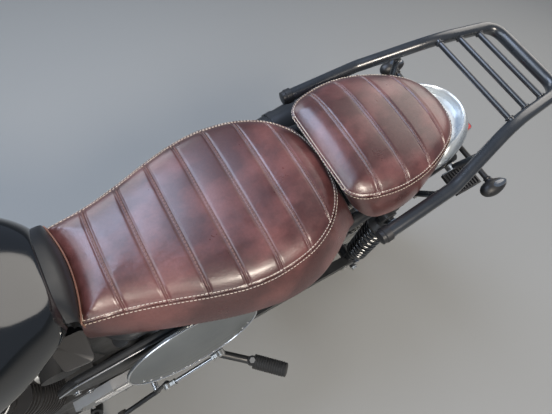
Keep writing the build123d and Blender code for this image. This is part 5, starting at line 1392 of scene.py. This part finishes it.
def bar_ends():
    """Grips with moulded rings, the mirrors' glass, and the switches, pivots and lever ends."""
    rows = [(0, 12), (0, 16.2), (1, 17)]
    for count in range(GRIP_RINGS):
        start = 3 + count * 5.4
        rows += [(start, 17.0), (start + 3.2, 17.0), (start + 3.8, 15.9), (start + 4.8, 15.9)]
    rows += [(122, 17), (125, 17), (125, 12)]
    put("grips", mirrored(turned(rows, GRIP_END, GRIP_INWARD, 40)), GRIP_RUBBER, "fork", "handlebar_grips")
    middle = on_grip(60, 18, 160)
    spun("mirror_glass", MIRROR_GLASS, [(0.2, 47.5), (-0.4, 47), (-0.6, 0)], middle, AHEAD, 72, "fork", True)
    spun("mirror_lips", BLACK_PLASTIC, [(0, 52.2), (-2, 51), (-2.4, 48.6), (0.2, 47.6)], middle, AHEAD, 72,
         "fork", True)
    pivot = turned([(-11, 0), (-11, 6), (11, 6), (11, 0)], on_grip(139, 52), UP, 6)
    knob = ellipsoid(on_grip(-2, 58, -6), (7.4, 7.4, 7.4), 14, 18)
    put("lever_fittings", mirrored(pivot, knob), STEEL, "fork")
    switches = [slab((3.4, 6, 4), 1.4, on_grip(140, -23, 6)), slab((3, 4, 3), 1.2, on_grip(156, -23, -6))]
    put("switches", mirrored(*switches), DARK_GREY, "fork")
    put("stop_switch", slab((4, 5, 5), 1.6, on_grip(158, -21.5, 6) * (1, -1, 1)), RED_LENS, "fork")
    nut = [(-4, 8.5), (4, 8.5), (5, 7), (5, 5.2)]
    spun("mirror_nuts", STEEL, nut, on_grip(150, 0, 26), UP, 6, "fork", True)
    screws = [(380.8 + ahead, side * y, 991.4) for _, side in HANDS for y in (30, 54) for ahead in (-9, 9)]
    bolts("clamp_bolts", screws, UP, 7, "fork")
    spun("front_indicator_lenses", AMBER_LENS, [(-0.6, 19.2), (1.6, 18.4), (3.2, 12), (3.8, 0)],
         (508.1, 174.8, 880.5), AHEAD, 40, "fork", True)


# Engine and exhaust

BARREL_X = 105


def ring_of(centre, radius, count, start):
    """Places on an upright circle seen from the side."""
    angle = start + np.arange(count) * 2 * math.pi / count
    return np.stack([radius * np.cos(angle), 0 * angle, radius * np.sin(angle)], -1) + centre


def engine_trim():
    """Bolts of the covers, the oil filler and its sight glass, plugs, head nuts and inlet clamps."""
    left = np.concatenate([ring_of((150, 138.3, 330), 70, 8, 0.3), ring_of((150, 144.3, 330), 43, 3, 0.5)])
    right = np.concatenate([ring_of((5, -140.3, 345), 83, 9, 0.2), ring_of((160, -134.3, 318), 55, 6, 0.4)])
    bolts("left_cover_bolts", left, LEFT, 9)
    bolts("right_cover_bolts", right, RIGHT, 9)
    edge = ((-146, 358), (-128, 440), (-60, 452), (10, 432), (10, 356), (-62, 332))
    bolts("sprocket_cover_bolts", [(x, 132.3, z) for x, z in edge], LEFT, 8)
    ribs = [swept([(-118, 133, z), (-14, 133, z + 4)], 3.4, 10, LEFT, 0.7) for z in (366, 384, 402, 420)]
    put("sprocket_cover_ribs", joined(ribs), CAST)
    steps = [[(-0.5, 52.4), (0, 52.4), (1.8, 51.6), (2.6, 49), (1.0, 47.5), (1.0, 40)],
             [(-0.5, 24), (0, 24), (2.4, 23.5), (3.0, 21), (1.2, 19), (0.4, 0)]]
    put("left_cover_steps", joined([turned(rows, (150, 144.3, 330), LEFT, 80) for rows in steps]), POLISHED)
    for name, surface, profile, place, sides in (
            ("clutch_cover_step", POLISHED, [(0, 66), (3, 65), (4.5, 62), (4.0, 58), (1.5, 56), (1.0, 20),
                                             (3.5, 17), (4, 0)], (5, -140.2, 345), 96),
            ("timing_cover_step", POLISHED, [(0, 44), (2.5, 43), (3.4, 40), (1.4, 38), (1.0, 0)],
             (160, -134.2, 318), 80),
            ("oil_filler", BLACK_PLASTIC, [(0, 19), (3, 19), (4, 17), (11, 16), (12, 14), (12, 0)],
             (-44, -140, 408), 10),
            ("sight_ring", STEEL, [(0, 15), (3, 15), (4, 13), (3.2, 11)], (30, -140, 276), 40),
            ("sight_glass", AMBER_LENS, [(2.6, 11.2), (3.2, 0)], (30, -140, 276), 32)):
        spun(name, surface, profile, place, RIGHT, sides)
    bolts("rocker_bolts", [(x, y, 721.5) for y in (-84, 0, 84) for x in (58, 152)], UP, 8)
    corners = np.array([(-1, -1), (1, -1), (1, 1), (-1, 1)])
    line = rounded(corners * (64, 106) + (BARREL_X, 0), 26, 9)
    put("rocker_joint", swept(np.c_[line, np.full(len(line), 653.2)], 1.8, 8, closed=True), CAST)
    line = rounded(corners * (58, 96) + (BARREL_X, 0), 20, 9)
    bands = []
    for shrink, height in ((0.86, 722.0), (0.62, 722.2)):
        path = np.c_[line * shrink + (BARREL_X * (1 - shrink), 0), np.full(len(line), height)]
        bands.append(swept(path, 1.5, 8, closed=True))
    put("rocker_steps", joined(bands), FIN_BLACK)
    for word, side in HANDS:
        way = (0.25, side * 0.9, 0.42)
        foot = (118, side * 104, 640.0)
        spun(word + "_spark_plug", STEEL, [(0, 9), (8, 9), (8, 10.5), (16, 10.5), (16, 7)], foot, way, 6)
        boot = [(16, 7), (18, 9.5), (30, 10), (40, 8.6), (44, 7), (44, 0)]
        spun(word + "_plug_boot", GRIP_RUBBER, boot, foot, way, 26)
        clamps = [turned([(0, 26.2), (0, 27.6), (7, 27.6), (7, 26.2)], (x, side * 55, 628), AHEAD, 44)
                  for x in (-62, -3)]
        put(word + "_inlet_clamps", joined(clamps), STEEL)
        flange = [(-14, 24.3), (-14, 33), (-7, 33), (-5, 30), (-5, 21.5)]
        nuts = bolt_heads([(202, side * 55, height) for height in (658, 598)], AHEAD, 8)
        put(word + "_port_flange", joined([turned(flange, (209, side * 55, 628), AHEAD, 44), nuts]), CAST)


def exhaust_trim():
    """The silencers' clamps, outlet tips and dark discs in their mouths as painted shade, and the heat
    shield's bolts and rolled edge.
    """
    bolts("shield_bolts", [(60, -209, 535), (-240, -209, 592), (-240, -209, 506)], RIGHT, 9)
    line = rounded([(150, 530), (-240, 622), (-275, 600), (-275, 490), (-240, 470), (150, 410)], 5, 5)
    path = np.insert(np.concatenate([line, line[:1]]), 1, -207.0, axis=1)
    put("shield_edge", swept(spaced(path, 9.0), 2.6, 8, LEFT), BRUSHED)
    for word, height in (("upper", 592.0), ("lower", 506.0)):
        out = (-26.0, -1, 3)
        mouth = (-796.0, -213, height + 63)
        tip = [(-6, 27), (1, 27), (2.4, 25.4), (2.4, 22), (0, 21), (-1, 20)]
        spun(word + "_outlet_tip", CHROME, tip, mouth, out, 48)
        # Painted shade: a dark disc just inside each tip stands for the hollow of the pipe
        spun(word + "_outlet_shade", DIAL_FACE, [(0.6, 21.2), (0.5, 0)], mouth, out, 40)
        collar = [(0, 22), (0, 25), (1, 26), (13, 26), (14, 25), (14, 22)]
        pin = [(-12, 0), (-12, 4.6), (12, 4.6), (12, 0)]
        clamp = [turned(collar, (-287, -174, height), AHEAD, 44),
                 slab((7, 5, 9), 1.5, (-280, -174, height + 31)),
                 turned(pin, (-280, -174, height + 33), LEFT, 6)]
        put(word + "_exhaust_clamp", joined(clamp), STEEL)


def frame_trim():
    """Nuts on the swinging arm's pivot and axle, chain adjusters and frame welds."""
    plate = rounded([(-778, 308), (-704, 308), (-704, 342), (-778, 342)], 8)
    rows = [(1, 0), (0.02, 0), (0, 0.5), (0, 2.6), (0.03, 3.2), (1, 3.2)]
    for word, side in HANDS:
        out = (0, side, 0)
        bolts(word + "_pivot_nut", [(-190, 149.5 * side, 390)], out, 15)
        bolts(word + "_rear_axle_nut", [(-740, 153.5 * side, 325)], out, 17)
        put(word + "_adjuster_plate", domed(plate, rows, (0, 142.2 * side, 0), AHEAD, UP, out), STEEL)
        put(word + "_adjuster_bolt", swept([(x, 129 * side, 325) for x in (-806, -786)], 4, 14), STEEL)
        bolts(word + "_adjuster_nut", [(-794, 129 * side, 325)], (-1, 0, 0), 7)
        beads = [weld_bead((-640.0, 111 * side, 738), LEFT, 12.6),
                 weld_bead((-125.0, 86.5 * side, 205), LEFT, 12.4)]
        put(word + "_frame_welds", joined(beads), SATIN_BLACK)


gaiters()
fork_trim()
headlamp_parts()
clock_face()
bar_ends()
engine_trim()
exhaust_trim()
frame_trim()


# Camera, from the perspective of the photograph

EYE = (-246.9, 234.5, 1385.7)
VIEW_RIGHT = (-0.852, 0.505, 0.140)
VIEW_FORWARD = (-0.325, -0.299, -0.897)
FOCAL_PIXELS = 382.9
PHOTO_WIDTH = 552
SENSOR = 36.0
FLOOR_HALF = 12.0

# Columns: name, place, aimed at, size across, watts, colour
LAMPS = (
    ("sun", (-0.5, 2.5, 2.9), (-0.3, 0, 0.6), 0.9, 115, (1.0, 0.90, 0.78)),
    ("sky ahead", (1.9, 0.2, 3.1), (0, 0, 0.8), 2.4, 60, (0.78, 0.88, 1.0)),
    ("sky above", (0.15, -1.0, 3.0), (-0.2, 0, 0.8), 1.6, 55, (0.62, 0.74, 1.0)),
    ("sky right", (0.2, -2.8, 2.4), (0, 0, 0.6), 2.0, 35, (0.84, 0.91, 1.0)),
    ("rear", (-3.0, -0.5, 2.0), (-0.5, 0, 0.7), 2.4, 34, (1.0, 0.94, 0.86)),
    ("low left", (0.6, 3.0, 0.9), (0, 0, 0.4), 1.2, 14, (1.0, 0.97, 0.92)))


def add_camera():
    """The camera at the photograph's viewing angle."""
    data = bpy.data.cameras.new("camera")
    data.sensor_fit = "HORIZONTAL"
    data.sensor_width = SENSOR
    data.lens = FOCAL_PIXELS / PHOTO_WIDTH * SENSOR
    data.clip_start = 0.02
    forward = Vector(lean_turn @ VIEW_FORWARD).normalized()
    right = Vector(lean_turn @ VIEW_RIGHT)
    right = (right - forward * right.dot(forward)).normalized()
    turn = Matrix((right, right.cross(forward), -forward)).transposed()
    camera = placed("camera", data)
    camera.matrix_world = Matrix.Translation(Vector(parked(EYE))) @ turn.to_4x4()
    bpy.context.scene.camera = camera


def add_lights():
    """A dim blue world with six soft lamps: a warm sun from the left, cool sky ahead, above and right."""
    world = bpy.data.worlds.new("studio")
    world.use_nodes = True
    background = world.node_tree.nodes["Background"].inputs
    background["Color"].default_value = (0.66, 0.78, 1.0, 1)
    background["Strength"].default_value = 0.24
    bpy.context.scene.world = world
    for name, place, target, size, power, colour in LAMPS:
        data = bpy.data.lights.new(name, "AREA")
        data.shape = "DISK"
        data.size, data.energy, data.color = size, power, colour
        lamp = placed(name, data)
        lamp.location = place
        lamp.rotation_euler = (Vector(target) - Vector(place)).to_track_quat("-Z", "Y").to_euler()


def add_floor():
    """The grey floor."""
    data = bpy.data.meshes.new("floor")
    corners = [(FLOOR_HALF * x, FLOOR_HALF * y, 0) for x, y in ((-1, -1), (1, -1), (1, 1), (-1, 1))]
    data.from_pydata(corners, [], [(0, 1, 2, 3)])
    floor = placed("floor", data)
    paint, _, sockets = new_surface("floor")
    sockets["Base Color"].default_value = (0.25, 0.25, 0.24, 1)
    sockets["Roughness"].default_value = 0.9
    data.materials.append(paint)
    floor.location.z = -0.001


add_camera()
add_lights()
add_floor()

bpy.context.scene.view_settings.view_transform = "Standard"
